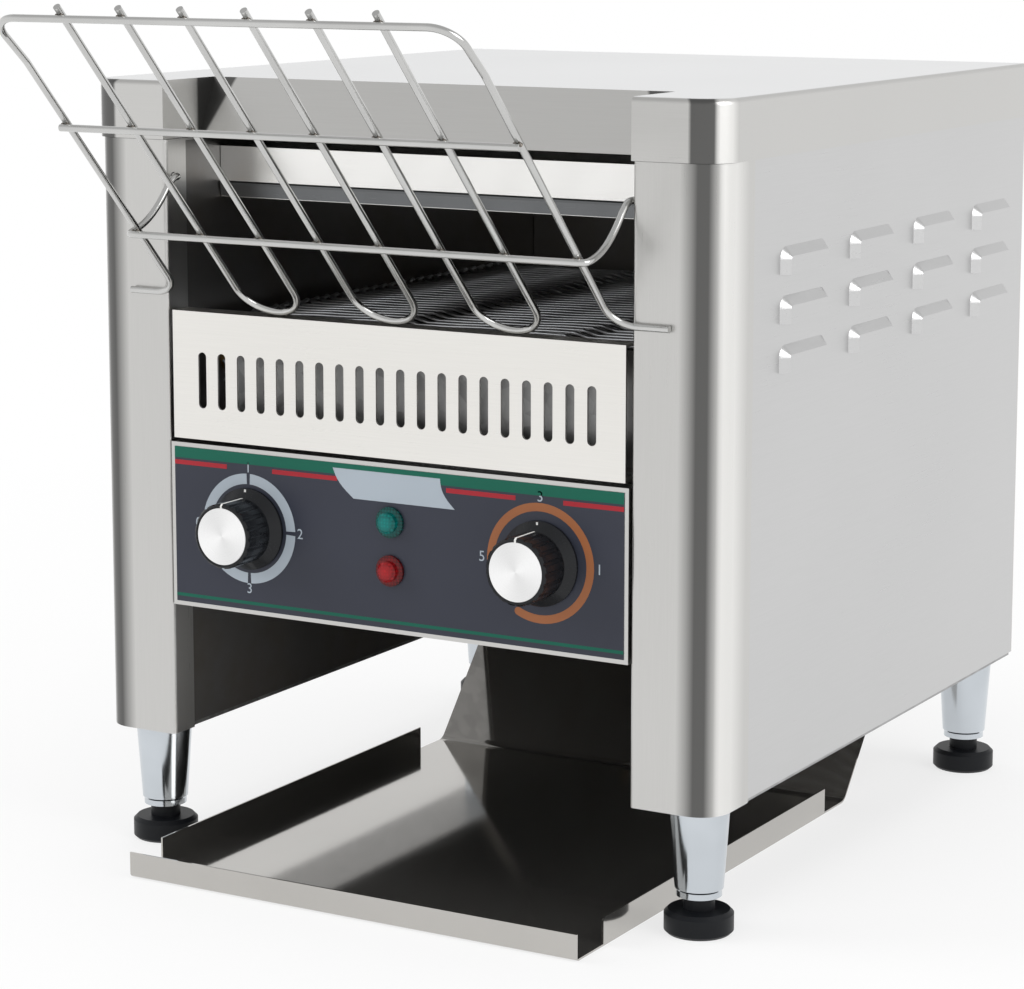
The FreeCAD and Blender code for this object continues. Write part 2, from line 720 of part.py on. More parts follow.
def knob(name, side):
    """Fluted dial knob with a flared skirt, bored for its spindle."""
    dial = new_body(name)
    turned(dial, ("SpindleRadius", "0"), ("KnobSkirt", "0"), ("KnobSkirt", "KnobSkirtThick/2"),
           ("KnobRadius", "KnobSkirtThick*2"), ("KnobRadius", "KnobHigh-1"),
           ("KnobRadius-1", "KnobHigh"), ("CapRadius+Gap", "KnobHigh"),
           ("CapRadius+Gap", "KnobHigh-CapThick"), ("SpindleRadius", "KnobHigh-CapThick"))
    flute = cut(dial, "z", "KnobSkirtThick*2+1", "KnobHigh+Gap",
                disc("KnobRadius+FluteRadius*0.6", "0", "FluteRadius"))
    ring_array(dial, [flute], flute.Profile[0], "KnobFlutes")
    place(dial, f"{side}*KnobX", f"{FRONT}-OverlayThick-Gap", "KnobZ", Rotation(Vector(1, 0, 0), 90))


def knob_cap(name, side):
    """Spun metal disc set in the knob's end."""
    cap = new_body(name)
    add(cap, "z", "KnobHigh-CapThick", "KnobHigh-CapThick/4", disc("0", "0", "CapRadius"))
    place(cap, f"{side}*KnobX", f"{FRONT}-OverlayThick-Gap", "KnobZ", Rotation(Vector(1, 0, 0), 90))


def spindle(name, side):
    """Spindle that carries a knob and turns the control behind the panel."""
    rod = new_body(name)
    add(rod, "z", "-(PanelFlange+OverlayThick)", "KnobHigh-CapThick-Gap",
        disc("0", "0", "SpindleRadius-BearingFit"))
    place(rod, f"{side}*KnobX", f"{FRONT}-OverlayThick-Gap", "KnobZ", Rotation(Vector(1, 0, 0), 90))


def control_switch(name, side):
    """Body of a control behind the panel, with the bush that its spindle turns in."""
    switch = new_body(name)
    near = f"{FRONT}+Skin"
    far = f"{near}+SwitchDeep"
    x_low, x_high = f"{side}*KnobX-SwitchHalf", f"{side}*KnobX+SwitchHalf"
    add(switch, "y", near, far,
        rectangle(x_low, "KnobZ-SwitchHalf", x_high, "KnobZ+SwitchHalf"))
    dress(switch, "Chamfer", "SwitchHalf/3", edges_of(switch, lambda e: abs(e.Length
                                                     - number("SwitchDeep")) < 0.01))
    cut(switch, "y", f"{near}-Gap", f"{FRONT}+PanelFlange+Gap", disc(f"{side}*KnobX", "KnobZ",
                                                                   "SpindleRadius"))
    place(switch)


def pilot_lamp(name, height):
    """Neon pilot lamp: lens with a flange, and a barrel behind the panel."""
    lamp = new_body(name)
    turned(lamp, ("0", "-LampDeep"), ("LampBarrel", "-LampDeep"), ("LampBarrel", "0"),
           ("LampFlange", "0"), ("LampFlange", "1.5"), ("LampDome", "2"), ("LampDome", "LampReach-1.6"),
           ("LampDome*0.75", "LampReach-0.4"), ("0", "LampReach"))
    place(lamp, "0", f"{FRONT}-OverlayThick", height, Rotation(Vector(1, 0, 0), 90))


def leg(name, side, y):
    """Tapered tubular leg with a stud on top and a bore for the levelling foot."""
    stand = new_body(name)
    bore_top = "LegBottom+FootStem+2"
    turned(stand, ("0", "PostFoot+LegStudHigh"), ("0", bore_top), ("FootNeck+BearingFit", bore_top),
           ("FootNeck+BearingFit", "LegBottom"), ("LegFootRadius", "LegBottom"),
           ("LegFootRadius", "LegBottom+3"), ("LegFootRadius+0.8", "LegBottom+4"),
           ("LegTopRadius", "PostFoot-4"), ("LegTopRadius", "PostFoot"),
           ("LegStud", "PostFoot"), ("LegStud", "PostFoot+LegStudHigh"))
    place(stand, f"{side}*{LEG_X}", y)


def foot(name, side, y):
    """Rubber foot on a stem that screws into the leg."""
    pad = new_body(name)
    turned(pad, ("0", "0"), ("FootRadius-1.5", "0"), ("FootRadius", "1.5"),
           ("FootRadius", "FootHigh-2"), ("FootRadius-2", "FootHigh"), ("FootNeck", "FootHigh"),
           ("FootNeck", "LegBottom+FootStem"), ("0", "LegBottom+FootStem"))
    place(pad, f"{side}*{LEG_X}", y)


def leg_nuts():
    """Hexagon nuts on the leg studs, inside the pans."""
    nuts = []
    for side in (LEFT, RIGHT):
        for y in (-number("LegFrontY"), number("LegRearY")):
            centre = Vector(side * number(LEG_X), y, number("PostFoot+Skin"))
            corner = number("NutFlats") / math.sqrt(3)
            angles = [math.radians(60 * i) for i in range(7)]
            outline = [centre + Vector(corner * math.cos(a), corner * math.sin(a), 0) for a in angles]
            nut = Part.Face(Part.makePolygon(outline)).extrude(Vector(0, 0, number("NutHigh")))
            nuts.append(nut.cut(Part.makeCylinder(number("LegStud+BearingFit"), number("NutHigh"),
                                                  centre)))
    new_feature("leg_nuts", Part.makeCompound(nuts))


def tray():
    """Toast tray: one polished sheet with a lip, low sides and a slide up to the back."""
    dish = new_body("tray")
    under, top = "TrayLift", "TrayLift+TraySkin"
    slide_y = "TrayBend+(TraySlideHigh-TrayLift)/tan(TraySlope)"
    add(dish, "x", f"-{TRAY_HALF}", TRAY_HALF,
        polygon(("-TrayFront", "TrayLip"), ("-TrayFront", under), ("TrayBend", under),
                (slide_y, "TraySlideHigh"),
                (f"{slide_y}-TraySkin*sin(TraySlope)", "TraySlideHigh+TraySkin*cos(TraySlope)"),
                ("TrayBend-TraySkin*tan(TraySlope/2)", top), ("TraySkin-TrayFront", top),
                ("TraySkin-TrayFront", "TrayLip")))
    bend = lambda y, z: edges_of(dish, lambda e: at(e.CenterOfMass.y, y) and at(e.CenterOfMass.z, z))
    dress(dish, "Fillet", "TrayBendRound+TraySkin", bend("TrayBend", under))
    dress(dish, "Fillet", "TrayBendRound", bend("TrayBend-TraySkin*tan(TraySlope/2)", top))
    dress(dish, "Fillet", "BendRound", bend("-TrayFront", under))
    for side in (LEFT, RIGHT):
        x_low, x_high = mirrored(side, f"({TRAY_HALF}-TraySkin)", TRAY_HALF)
        add(dish, "x", x_low, x_high,
            polygon(("-TraySideStart", f"{under}+TraySkin/2"), ("TraySideEnd", f"{under}+TraySkin/2"),
                    ("TraySideEnd", "TraySideHigh"), ("-TraySideStart", "TraySideHigh")))
    place(dish)


def rear_chute():
    """Bent sheet behind the belt that turns the falling toast forward on to the tray."""
    chute = new_body("rear_chute")
    face = f"{REAR}-Skin-ChuteSetback"
    slide_y = "(TrayBend+(TraySlideHigh-TrayLift)/tan(TraySlope))"
    add(chute, "x", f"-({WALL}-Gap)", f"{WALL}-Gap",
        polygon((face, "ChuteTop"), (face, "ChuteBend"), (slide_y, "TraySlideHigh+Skin"),
                (f"{slide_y}+Skin", "TraySlideHigh+Skin"), (f"{face}+Skin", "ChuteBend"),
                (f"{face}+Skin", "ChuteTop")))
    place(chute)


def bent_wire(points, bend, radius):
    """A round wire along straight runs joined by tangent arcs."""
    edges = []
    start = points[0]
    for before, corner, after in zip(points, points[1:], points[2:]):
        back, ahead = (before - corner).normalize(), (after - corner).normalize()
        turn = math.pi - back.getAngle(ahead)
        setback = bend * math.tan(turn / 2)
        first, last = corner + back * setback, corner + ahead * setback
        middle_way = (back + ahead).normalize()
        middle = corner + middle_way * (bend / math.cos(turn / 2) - bend)
        edges.append(Part.LineSegment(start, first).toShape())
        edges.append(Part.Arc(first, middle, last).toShape())
        start = last
    edges.append(Part.LineSegment(start, points[-1]).toShape())
    path = Part.Wire(edges)
    section = Part.Wire(Part.makeCircle(radius, points[0], points[1] - points[0]))
    return path.makePipeShell([section], True, False)


def rack_point(x, along, outward=0.0):
    """A point of the rack: across, up its slope from the stubs, and out from its plane."""
    tilt = math.radians(number("RackTilt"))
    y = number(STUB_Y) - along * math.cos(tilt) - outward * math.sin(tilt)
    z = number("RackStubZ") + along * math.sin(tilt) - outward * math.cos(tilt)
    return Vector(x, y, z)


def rack_frame():
    """Outer wire of the loading rack, with stubs that rest on the posts."""
    half, stub, top = number(RACK_HALF), number("RackStubReach"), number("RackLength")
    lift = number("RackWire+RackWeld")
    bend = number("RackTopBend")
    left = [rack_point(-stub, 0), rack_point(-half, 0), rack_point(-half, top - bend),
            rack_point(-half, top, lift)]
    right = [Vector(-p.x, p.y, p.z) for p in reversed(left)]
    new_feature("rack_frame_wire", bent_wire(left + right, number("RackCorner"), number("RackWire/2")))


def rack_loops():
    """Three wire loops between the outer wires, which carry the bread."""
    half, foot_along, top = number("LoopHalf"), -number("LoopFoot"), number("RackLength+LoopStand")
    loops = []
    for row in (-1, 0, 1):
        middle = row * number("LoopPitch")
        spring = foot_along + half
        left_up = rack_point(middle - half, top)
        left_low, right_low = rack_point(middle - half, spring), rack_point(middle + half, spring)
        edges = [Part.LineSegment(left_up, left_low).toShape(),
                 Part.Arc(left_low, rack_point(middle, foot_along), right_low).toShape(),
                 Part.LineSegment(right_low, rack_point(middle + half, top)).toShape()]
        section = Part.Wire(Part.makeCircle(number("RackWire/2"), left_up, left_low - left_up))
        loops.append(Part.Wire(edges).makePipeShell([section], True, False))
    new_feature("rack_loop_wires", Part.makeCompound(loops))


def rack_rods():
    """Straight cross rod, and the lower rod whose bent ends hook into the posts."""
    lift, radius = number("RackWire+RackWeld"), number("RackWire/2")
    reach = number(f"{RACK_HALF}+RackWire/2")
    start = rack_point(-reach, number("RackUpperRod"), lift)
    new_feature("rack_cross_rod", Part.makeCylinder(radius, 2 * reach, start, Vector(1, 0, 0)))
    arm, tip = number(HOOK_ARM), number(f"{WALL}+HookPin")
    hook_y, hook_z = -number("HookY"), number("HookZ")
    left = [Vector(-tip, hook_y, hook_z), Vector(-arm, hook_y, hook_z),
            rack_point(-arm, number("RackLowerRod"), lift)]
    right = [Vector(-p.x, p.y, p.z) for p in reversed(left)]
    new_feature("rack_hook_rod", bent_wire(left + right, number("HookRound"), radius))


class Loop:
    """The path of a chain or belt round two wheels, measured in pitches."""

    def __init__(self, first, first_teeth, second, second_teeth, pitch):
        self.pitch = pitch
        self.centres = (first, second)
        self.teeth = (first_teeth, second_teeth)
        self.radii = [pitch / 2 / math.sin(math.pi / n) for n in self.teeth]
        ahead = second - first
        self.heading = math.atan2(ahead.z, ahead.y)
        self.lean = math.asin((self.radii[1] - self.radii[0]) / ahead.Length)
        self.straight = ahead.Length * math.cos(self.lean) / pitch
        self.wraps = [n * (math.pi + 2 * self.lean * sign) / (2 * math.pi)
                      for n, sign in zip(self.teeth, (-1, 1))]
        self.total = 2 * self.straight + sum(self.wraps)

    def at(self, station, outward=0.0):
        """The point and outward direction at a station, from the start of the run over the first wheel."""
        station %= self.total
        start = self.heading + math.pi / 2 + self.lean
        if station < self.straight:
            return self.on_run(0, start, station, outward)
        station -= self.straight
        if station < self.wraps[1]:
            return self.on_wheel(1, start - station * 2 * math.pi / self.teeth[1], outward)
        station -= self.wraps[1]
        start = self.heading - math.pi / 2 - self.lean
        if station < self.straight:
            return self.on_run(1, start, station, outward)
        station -= self.straight
        return self.on_wheel(0, start - station * 2 * math.pi / self.teeth[0], outward)

    def on_run(self, wheel, angle, station, outward):
        normal = Vector(0, math.cos(angle), math.sin(angle))
        along = Vector(0, math.sin(angle), -math.cos(angle))
        base = self.centres[wheel] + normal * (self.radii[wheel] + outward)
        return base + along * (station * self.pitch), normal

    def on_wheel(self, wheel, angle, outward):
        normal = Vector(0, math.cos(angle), math.sin(angle))
        return self.centres[wheel] + normal * (self.radii[wheel] + outward), normal

    def wheel_phase(self, wheel):
        """The angle of one tooth gap of a wheel, where a whole station lies on it."""
        if wheel == 1:
            start = self.heading + math.pi / 2 + self.lean
            ahead = math.ceil(self.straight) - self.straight
        else:
            start = self.heading - math.pi / 2 - self.lean
            passed = 2 * self.straight + self.wraps[1]
            ahead = math.ceil(passed) - passed
        return start - ahead * 2 * math.pi / self.teeth[wheel]


def belt_loop():
    front = Vector(0, -number("FrontShaftY"), number(SHAFT_Z))
    rear = Vector(0, number(REAR_SHAFT_Y), number(SHAFT_Z))
    teeth = int(number("BeltTeeth"))
    return Loop(front, teeth, rear, teeth, number("BeltPitch"))


def strand_route():
    """Points of one belt strand: across, along in pitches, and out of the belt's plane."""
    spans = int(number("BeltSpans"))
    half, hook, wave = number(BELT_HALF), number("BeltHook"), number("BeltWave")
    step = number("(BeltPitch+BeltOffset)/BeltPitch")
    wide = 2 * half / spans
    route = [(-half + 0.6 * hook, step, 0.4 * wave), (-half + 2 * hook, step, wave), (-half, 0.0, -wave)]
    for column in range(1, spans):
        middle = -half + column * wide
        before, after = (0.0, step) if column % 2 else (step, 0.0)
        route += [(middle + hook, before, wave), (middle - hook, after, -wave)]
    return route + [(half, 0.0, wave), (half - 2 * hook, step, -wave),
                    (half - 0.6 * hook, step, -0.4 * wave)]


def square_wire(points, across):
    """A thin wire with mitred corners along a line of points, with a square section."""
    corners = []
    count = len(points)
    for i, (point, normal) in enumerate(points):
        before = points[max(i - 1, 0)][0]
        after = points[min(i + 1, count - 1)][0]
        come = (point - before).normalize() if i else (after - point).normalize()
        leave = (after - point).normalize() if i < count - 1 else come
        side_way = normal.cross(come + leave).normalize()
        stretch = 1 / max(math.cos(come.getAngle(leave) / 2), 0.3)
        half_side = across / math.sqrt(2)
        corners.append([point + side_way * half_side * stretch, point + normal * half_side,
                        point - side_way * half_side * stretch, point - normal * half_side])
    faces = [Part.Face(Part.makePolygon(corners[0] + corners[0][:1])),
             Part.Face(Part.makePolygon(corners[-1] + corners[-1][:1]))]
    for near, far in zip(corners, corners[1:]):
        for i in range(4):
            j = (i + 1) % 4
            faces.append(Part.Face(Part.makePolygon([near[i], near[j], far[j], near[i]])))
            faces.append(Part.Face(Part.makePolygon([near[i], far[j], far[i], near[i]])))
    return Part.makeSolid(Part.makeShell(faces))


def wire_belt():
    """Flat-flex belt: strands that hook into each other at every column of bends."""
    loop = belt_loop()
    route = strand_route()
    across = number("BeltWire")
    strands = []
    for strand in range(round(loop.total)):
        points = []
        for x, along, outward in route:
            point, normal = loop.at(strand + along, outward)
            points.append((Vector(x, point.y, point.z), normal))
        strands.append(square_wire(points, across))
    new_feature("wire_belt", Part.makeCompound(strands))


def toothed_wheel(centre_x, centre, radius, teeth, gap_radius, thick, tip, phase, bore):
    """A flat wheel across X, cut with round gaps at its pitch circle."""
    start = Vector(centre_x - thick / 2, centre.y, centre.z)
    axis = Vector(1, 0, 0)
    wheel = Part.makeCylinder(tip, thick, start, axis)
    gaps = []
    for tooth in range(teeth):
        angle = phase + tooth * 2 * math.pi / teeth
        place_at = start + Vector(0, math.cos(angle), math.sin(angle)) * radius
        gaps.append(Part.makeCylinder(gap_radius, thick, place_at, axis))
    return wheel.cut(gaps + [Part.makeCylinder(bore, thick, start, axis)])


def belt_sprockets(name, wheel):
    """Belt sprockets with their hubs, one in every other span of the belt."""
    loop = belt_loop()
    centre = loop.centres[wheel]
    wide = 2 * number(BELT_HALF) / number("BeltSpans")
    bore = number("ShaftRadius")
    gap_radius = number("BeltWire/2+ToothClear+BeltWave/4")
    parts = []
    for row in (-2, 0, 2):
        disc_shape = toothed_wheel(row * wide, centre, loop.radii[wheel], loop.teeth[wheel], gap_radius,
                                   number("SprocketThick"), loop.radii[wheel], loop.wheel_phase(wheel),
                                   bore)
        long = number("SprocketHubLong")
        start = Vector(row * wide - long / 2, centre.y, centre.z)
        hub = Part.makeCylinder(number("SprocketHub"), long, start, Vector(1, 0, 0))
        hub = hub.cut(Part.makeCylinder(bore, long, start, Vector(1, 0, 0)))
        parts.append(disc_shape.fuse(hub).removeSplitter())
    new_feature(name, Part.makeCompound(parts))


def shaft(name, y, right_end):
    """Belt shaft, from bush to bush."""
    rod = new_body(name)
    left_end = f"-({WALL}+Skin+BushFlangeThick+ShaftOverrun)"
    add(rod, "x", left_end, right_end, disc(y, SHAFT_Z, "ShaftRadius"))
    place(rod)


def shaft_bushes():
    """Flanged bushes in the inner walls, one at each end of both shafts."""
    bushes = []
    for side in (LEFT, RIGHT):
        for y in (-number("FrontShaftY"), number(REAR_SHAFT_Y)):
            wall_face = number(f"{WALL}+Skin")
            centre = Vector(side * wall_face, y, number(SHAFT_Z))
            out = Vector(side, 0, 0)
            inside = number("Skin+BushInside")
            flange = number("BushFlangeThick")
            bush = Part.makeCylinder(number("BushFlange"), flange, centre, out)
            bush = bush.fuse(Part.makeCylinder(number("BushRadius"), inside, centre, out * -1))
            bore = Part.makeCylinder(number("ShaftRadius+BearingFit"), inside + flange,
                                     centre - out * inside, out)
            bushes.append(bush.cut(bore).removeSplitter())
    new_feature("shaft_bushes", Part.makeCompound(bushes))


def upper_reflector():
    """Channel over the upper elements, whose front flange shows behind the hood."""
    reflector = new_body("upper_reflector")
    low, under = "ReflectorTop-ReflectorFlange", "ReflectorTop-Skin"
    front, rear = "-HoodFlangeY", "ReflectorRearY"
    add(reflector, "x", f"-({WALL}-Gap)", f"{WALL}-Gap",
        polygon((front, low), (front, "ReflectorTop"), (rear, "ReflectorTop"), (rear, low),
                (f"{rear}-Skin", low), (f"{rear}-Skin", under), (f"{front}+Skin", under),
                (f"{front}+Skin", low)))
    place(reflector)


def lower_reflector():
    """Shallow channel between the two runs of the belt, under the lower elements."""
    reflector = new_body("lower_reflector")
    low, top = "LowerReflectorZ", "LowerReflectorZ+LowerReflectorRise"
    half = "LowerReflectorHalf"
    add(reflector, "x", f"-({WALL}-Gap)", f"{WALL}-Gap",
        polygon((f"-{half}", top), (f"-{half}", low), (half, low), (half, top), (f"{half}-Skin", top),
                (f"{half}-Skin", f"{low}+Skin"), (f"Skin-{half}", f"{low}+Skin"),
                (f"Skin-{half}", top)))
    place(reflector)


def element_rows():
    upper = [(row * number("UpperElementPitch"), number("UpperElementZ")) for row in (-1, 0, 1)]
    lower = [(row * number("LowerElementPitch/2"), number("LowerElementZ")) for row in (-1, 1)]
    return upper + lower


def heating_elements():
    """Sheathed heating rods from wall to wall, three over the belt and two inside it."""
    reach = number(f"{WALL}+Skin+ElementBushLong/2")
    pin = number("TerminalLong")
    rods = []
    for y, z in element_rows():
        rod = Part.makeCylinder(number("ElementRadius"), 2 * reach, Vector(-reach, y, z), Vector(1, 0, 0))
        pins = Part.makeCylinder(number("TerminalRadius"), 2 * (reach + pin),
                                 Vector(-reach - pin, y, z), Vector(1, 0, 0))
        rods.append(rod.fuse(pins).removeSplitter())
    new_feature("heating_elements", Part.makeCompound(rods))


def element_bushes():
    """Ceramic bushes that hold the heating rods in the walls."""
    bushes = []
    long = number("ElementBushLong")
    for side in (LEFT, RIGHT):
        for y, z in element_rows():
            start = Vector(side * number(f"{WALL}+Skin/2") - long / 2, y, z)
            bush = Part.makeCylinder(number("ElementBush"), long, start, Vector(1, 0, 0))
            bushes.append(bush.cut(Part.makeCylinder(number("ElementRadius+BearingFit"), long, start,
                                                     Vector(1, 0, 0))))
    new_feature("element_bushes", Part.makeCompound(bushes))


def chain_loop():
    """The chain's path, with the motor's sprocket as far off as its whole links ask."""
    pitch, links = number("ChainPitch"), number("ChainLinks")
    teeth = [int(number("MotorTeeth")), int(number("DriveTeeth"))]
    rear = Vector(0, number(REAR_SHAFT_Y), number(SHAFT_Z))
    near, far = abs(number(f"{REAR_SHAFT_Y}-MotorY")), links * pitch
    for _ in range(60):
        reach = (near + far) / 2
        drop = math.sqrt(reach ** 2 - (rear.y - number("MotorY")) ** 2)
        loop = Loop(Vector(0, number("MotorY"), rear.z - drop), teeth[0], rear, teeth[1], pitch)
        near, far = (reach, far) if loop.total < links else (near, reach)
    return loop


def chain_wheel(name, wheel, hub_low, hub_high, bore, hub_radius):
    """A chain sprocket with its hub."""
    loop = chain_loop()
    centre, x = loop.centres[wheel], number(CHAIN_X)
    tip = loop.radii[wheel] + number("ChainToothHigh")
    blank = toothed_wheel(x, centre, loop.radii[wheel], loop.teeth[wheel],
                          number("ChainRoller+ChainToothClear"), number("ChainSprocketThick"), tip,
                          loop.wheel_phase(wheel), bore)
    start = Vector(hub_low, centre.y, centre.z)
    hub = Part.makeCylinder(hub_radius, hub_high - hub_low, start, Vector(1, 0, 0))
    if bore:
        hub = hub.cut(Part.makeCylinder(bore, hub_high - hub_low, start, Vector(1, 0, 0)))
    new_feature(name, blank.fuse(hub).removeSplitter())


def drive_chain():
    """Roller chain: side plates with a roller at every pitch."""
    loop = chain_loop()
    x, wide, plate = number(CHAIN_X), number("ChainWide"), number("ChainPlate")
    half_high = number("ChainHigh/2")
    links = round(loop.total)
    rim = [[loop.at(i, out)[0] for i in range(links)] for out in (half_high, -half_high)]
    solids = []
    for start_x in (x - wide / 2, x + wide / 2 - plate):
        faces = [Part.Face(Part.makePolygon(edge + edge[:1])) for edge in rim]
        band = faces[0].extrude(Vector(plate, 0, 0)).cut(faces[1].extrude(Vector(plate, 0, 0)))
        band.translate(Vector(start_x, 0, 0))
        solids.append(band)
    for i in range(links):
        centre = loop.at(i)[0]
        angles = [math.radians(60 * k) for k in range(7)]
        outline = [Vector(x - wide / 2 + plate, centre.y + number("ChainRoller") * math.cos(a),
                          centre.z + number("ChainRoller") * math.sin(a)) for a in angles]
        roller = Part.Face(Part.makePolygon(outline)).extrude(Vector(wide - 2 * plate, 0, 0))
        solids.append(roller)
    new_feature("drive_chain", solids[0].fuse(solids[1:]))


def motor_bracket():
    """Plate on four spacers from the inner wall, which carries the gear motor."""
    loop = chain_loop()
    centre = loop.centres[0]
    bracket = new_body("motor_bracket")
    near = f"({CHAIN_X}+ChainWide/2+BracketClear)"
    y_low, y_high = f"MotorY-MotorPlateHalf", f"MotorY+MotorPlateHalf"
    z_mid = f"{centre.z:.6f}"
    half = "MotorPlateHalf"
    add(bracket, "x", near, f"{near}+MotorPlateThick",
        rectangle(y_low, f"{z_mid}-{half}", y_high, f"{z_mid}+{half}"),
        disc("MotorY", z_mid, "MotorShaft+2*Gap"))
    reach = "(MotorPlateHalf-SpacerInset)"
    feet = [disc(f"MotorY+{a}*{reach}", f"{z_mid}+{b}*{reach}", "SpacerRadius")
            for a, b in ((-1, 0), (1, 0), (0, -1), (0, 1))]
    add(bracket, "x", f"{WALL}+Skin", near, *feet)
    place(bracket)


def gear_motor():
    """Gear motor: gearbox and the motor behind it, in the right side compartment."""
    loop = chain_loop()
    z_mid = f"{loop.centres[0].z:.6f}"
    motor = new_body("gear_motor")
    near = f"({CHAIN_X}+ChainWide/2+BracketClear+MotorPlateThick)"
    add(motor, "x", near, f"{near}+GearboxDeep",
        rectangle("MotorY-GearboxHalfLong", f"{z_mid}-GearboxHalfHigh",
                  "MotorY+GearboxHalfLong", f"{z_mid}+GearboxHalfHigh"))
    dress(motor, "Fillet", "GearboxRound",
          edges_of(motor, lambda e: abs(e.Length - number("GearboxDeep")) < 0.01))
    add(motor, "x", near, f"{near}+MotorDeep",
        rectangle("MotorY-GearboxHalfLong-MotorLong", f"{z_mid}-MotorHalfHigh",
                  "MotorY-GearboxHalfLong", f"{z_mid}+MotorHalfHigh"))
    cut(motor, "x", f"{near}-Gap", f"{near}+MotorShaftIn", disc("MotorY", z_mid, "MotorShaft"))
    place(motor)


def fan_housing():
    """Square axial fan frame behind the left louvres, with three struts to its hub."""
    frame = new_body("cooling_fan_housing")
    outer = f"-({HALF}-Skin)"
    inner = f"-({HALF}-Skin-FanDeep)"
    add(frame, "x", outer, inner,
        rectangle("FanY-FanHalf", "FanZ-FanHalf", "FanY+FanHalf", "FanZ+FanHalf"))
    dress(frame, "Fillet", "5", edges_of(frame, lambda e: abs(e.Length - number("FanDeep")) < 0.01))
    cut(frame, "x", f"{outer}-Gap", f"{inner}+Gap", disc("FanY", "FanZ", "FanBore"))
    strut_low, strut_high = f"{inner}-3", inner
    add(frame, "x", strut_low, strut_high,
        polygon(("FanY-FanBore-1", "FanZ-2"), ("FanY+FanBore+1", "FanZ-2"),
                ("FanY+FanBore+1", "FanZ+2"), ("FanY-FanBore-1", "FanZ+2")))
    add(frame, "x", strut_low, strut_high, disc("FanY", "FanZ", "FanHub"))
    place(frame)


def fan_rotor():
    """Fan rotor: hub with pitched blades, turning in the housing."""
    low = -number(f"{HALF}-Skin-3")
    high = -number(f"{HALF}-Skin-FanDeep") - 3 - number("Gap")
    centre = Vector(low, number("FanY"), number("FanZ"))
    hub = Part.makeCylinder(number("FanHub"), high - low, centre, Vector(1, 0, 0))
    blades = []
    count = int(number("FanBlades"))
    tip, root = number("FanTip"), number("FanHub") - 2
    for blade in range(count):
        plate = Part.makeBox(16, tip - root, 1.4, Vector(-8, root, -0.7))
        plate.rotate(Vector(), Vector(0, 1, 0), 38)
        plate.rotate(Vector(), Vector(1, 0, 0), 360 / count * blade)
        plate.translate(Vector((low + high) / 2, centre.y, centre.z))
        blades.append(plate)
    new_feature("fan_rotor", hub.fuse(blades).removeSplitter())


def terminal_block():
    """Mains terminal block on the left pan."""
    block = new_body("terminal_block")
    base = "PostFoot+Skin"
    add(block, "z", base, f"{base}+22",
        rectangle(f"-({LEG_X}+9)", "BlockY-75", f"-({LEG_X}-9)", "BlockY-15"))
    way = cut(block, "z", f"{base}+12", f"{base}+22+Gap",
              rectangle(f"-({LEG_X}+7)", "BlockY-73", f"-({LEG_X}-7)", "BlockY-65"))
    array(block, [way], way.Profile[0], "V_Axis", "48", "5")
    place(block)


def cord_gland():
    """Cord gland in the rear panel, with its bore bare."""
    gland = new_body("cord_gland")
    turned(gland, ("GlandBore", "0"), ("GlandBore", "GlandNose+8"), ("GlandRadius", "GlandNose+8"),
           ("GlandRadius", "GlandNose"), ("GlandFlange", "GlandNose"), ("GlandFlange", "GlandNose-4"),
           ("GlandRadius", "GlandNose-5"), ("GlandRadius-2", "0"))
    place(gland, f"-{GLAND_X}", f"{REAR}+GlandNose", "GlandZ", Rotation(Vector(1, 0, 0), 90))


def panel_screws():
    """Screw heads of one size: three under the control panel and six on the rear panel."""
    radius, high = number("ScrewHead/2"), number("ScrewHigh")
    under_y, under_z = number(f"{FRONT}+PostReturn"), number("PanelBottom-Skin")
    rear_y, rear_z = number(REAR), number("RearScrewMidZ")
    heads = [Part.makeCylinder(radius, high, Vector(row * number("PanelScrewPitch"), under_y, under_z),
                               Vector(0, 0, -1)) for row in (-1, 0, 1)]
    for across in (-1, 1):
        for up in (-1, 0, 1):
            centre = Vector(across * number(f"{HALF}-RearScrewInset"), rear_y,
                            rear_z + up * number("RearScrewSpanZ"))
            heads.append(Part.makeCylinder(radius, high, centre, Vector(0, 1, 0)))
    new_feature("panel_screws", Part.makeCompound(heads))


def build_housing():
    for name, side in SIDES.items():
        corner_post(f"{name}_post", side)
        side_panel(f"{name}_side_panel", side)
        inner_wall(f"{name}_inner_wall", side)
        base_pan(f"{name}_base_pan", side)
        for end, y in (("front", "-LegFrontY"), ("rear", "LegRearY")):
            leg(f"{end}_{name}_leg", side, y)
            foot(f"{end}_{name}_foot", side, y)
    leg_nuts()
    lid()
    rear_panel()
    slotted_front()
    heat_shield()
    rear_chute()
    tray()
    cord_gland()
    terminal_block()


def build_controls():
    control_panel()
    control_overlay()
    control_shield()
    panel_screws()
    pilot_lamp("green_pilot_lamp", "LampUpperZ")
    pilot_lamp("red_pilot_lamp", "LampLowerZ")
    for name, side in SIDES.items():
        knob(f"{name}_knob", side)
        knob_cap(f"{name}_knob_cap", side)
        spindle(f"{name}_spindle", side)
    control_switch("rotary_switch", LEFT)
    control_switch("speed_control", RIGHT)


def build_rack():
    rack_frame()
    rack_loops()
    rack_rods()


def build_conveyor():
    wire_belt()
    belt_sprockets("front_belt_sprockets", 0)
    belt_sprockets("rear_belt_sprockets", 1)
    short_end = f"{WALL}+Skin+BushFlangeThick+ShaftOverrun"
    shaft("front_shaft", "-FrontShaftY", short_end)
    shaft("rear_shaft", REAR_SHAFT_Y, f"{CHAIN_X}+ChainWide/2+2")
    shaft_bushes()
    upper_reflector()
    lower_reflector()
    heating_elements()
    element_bushes()


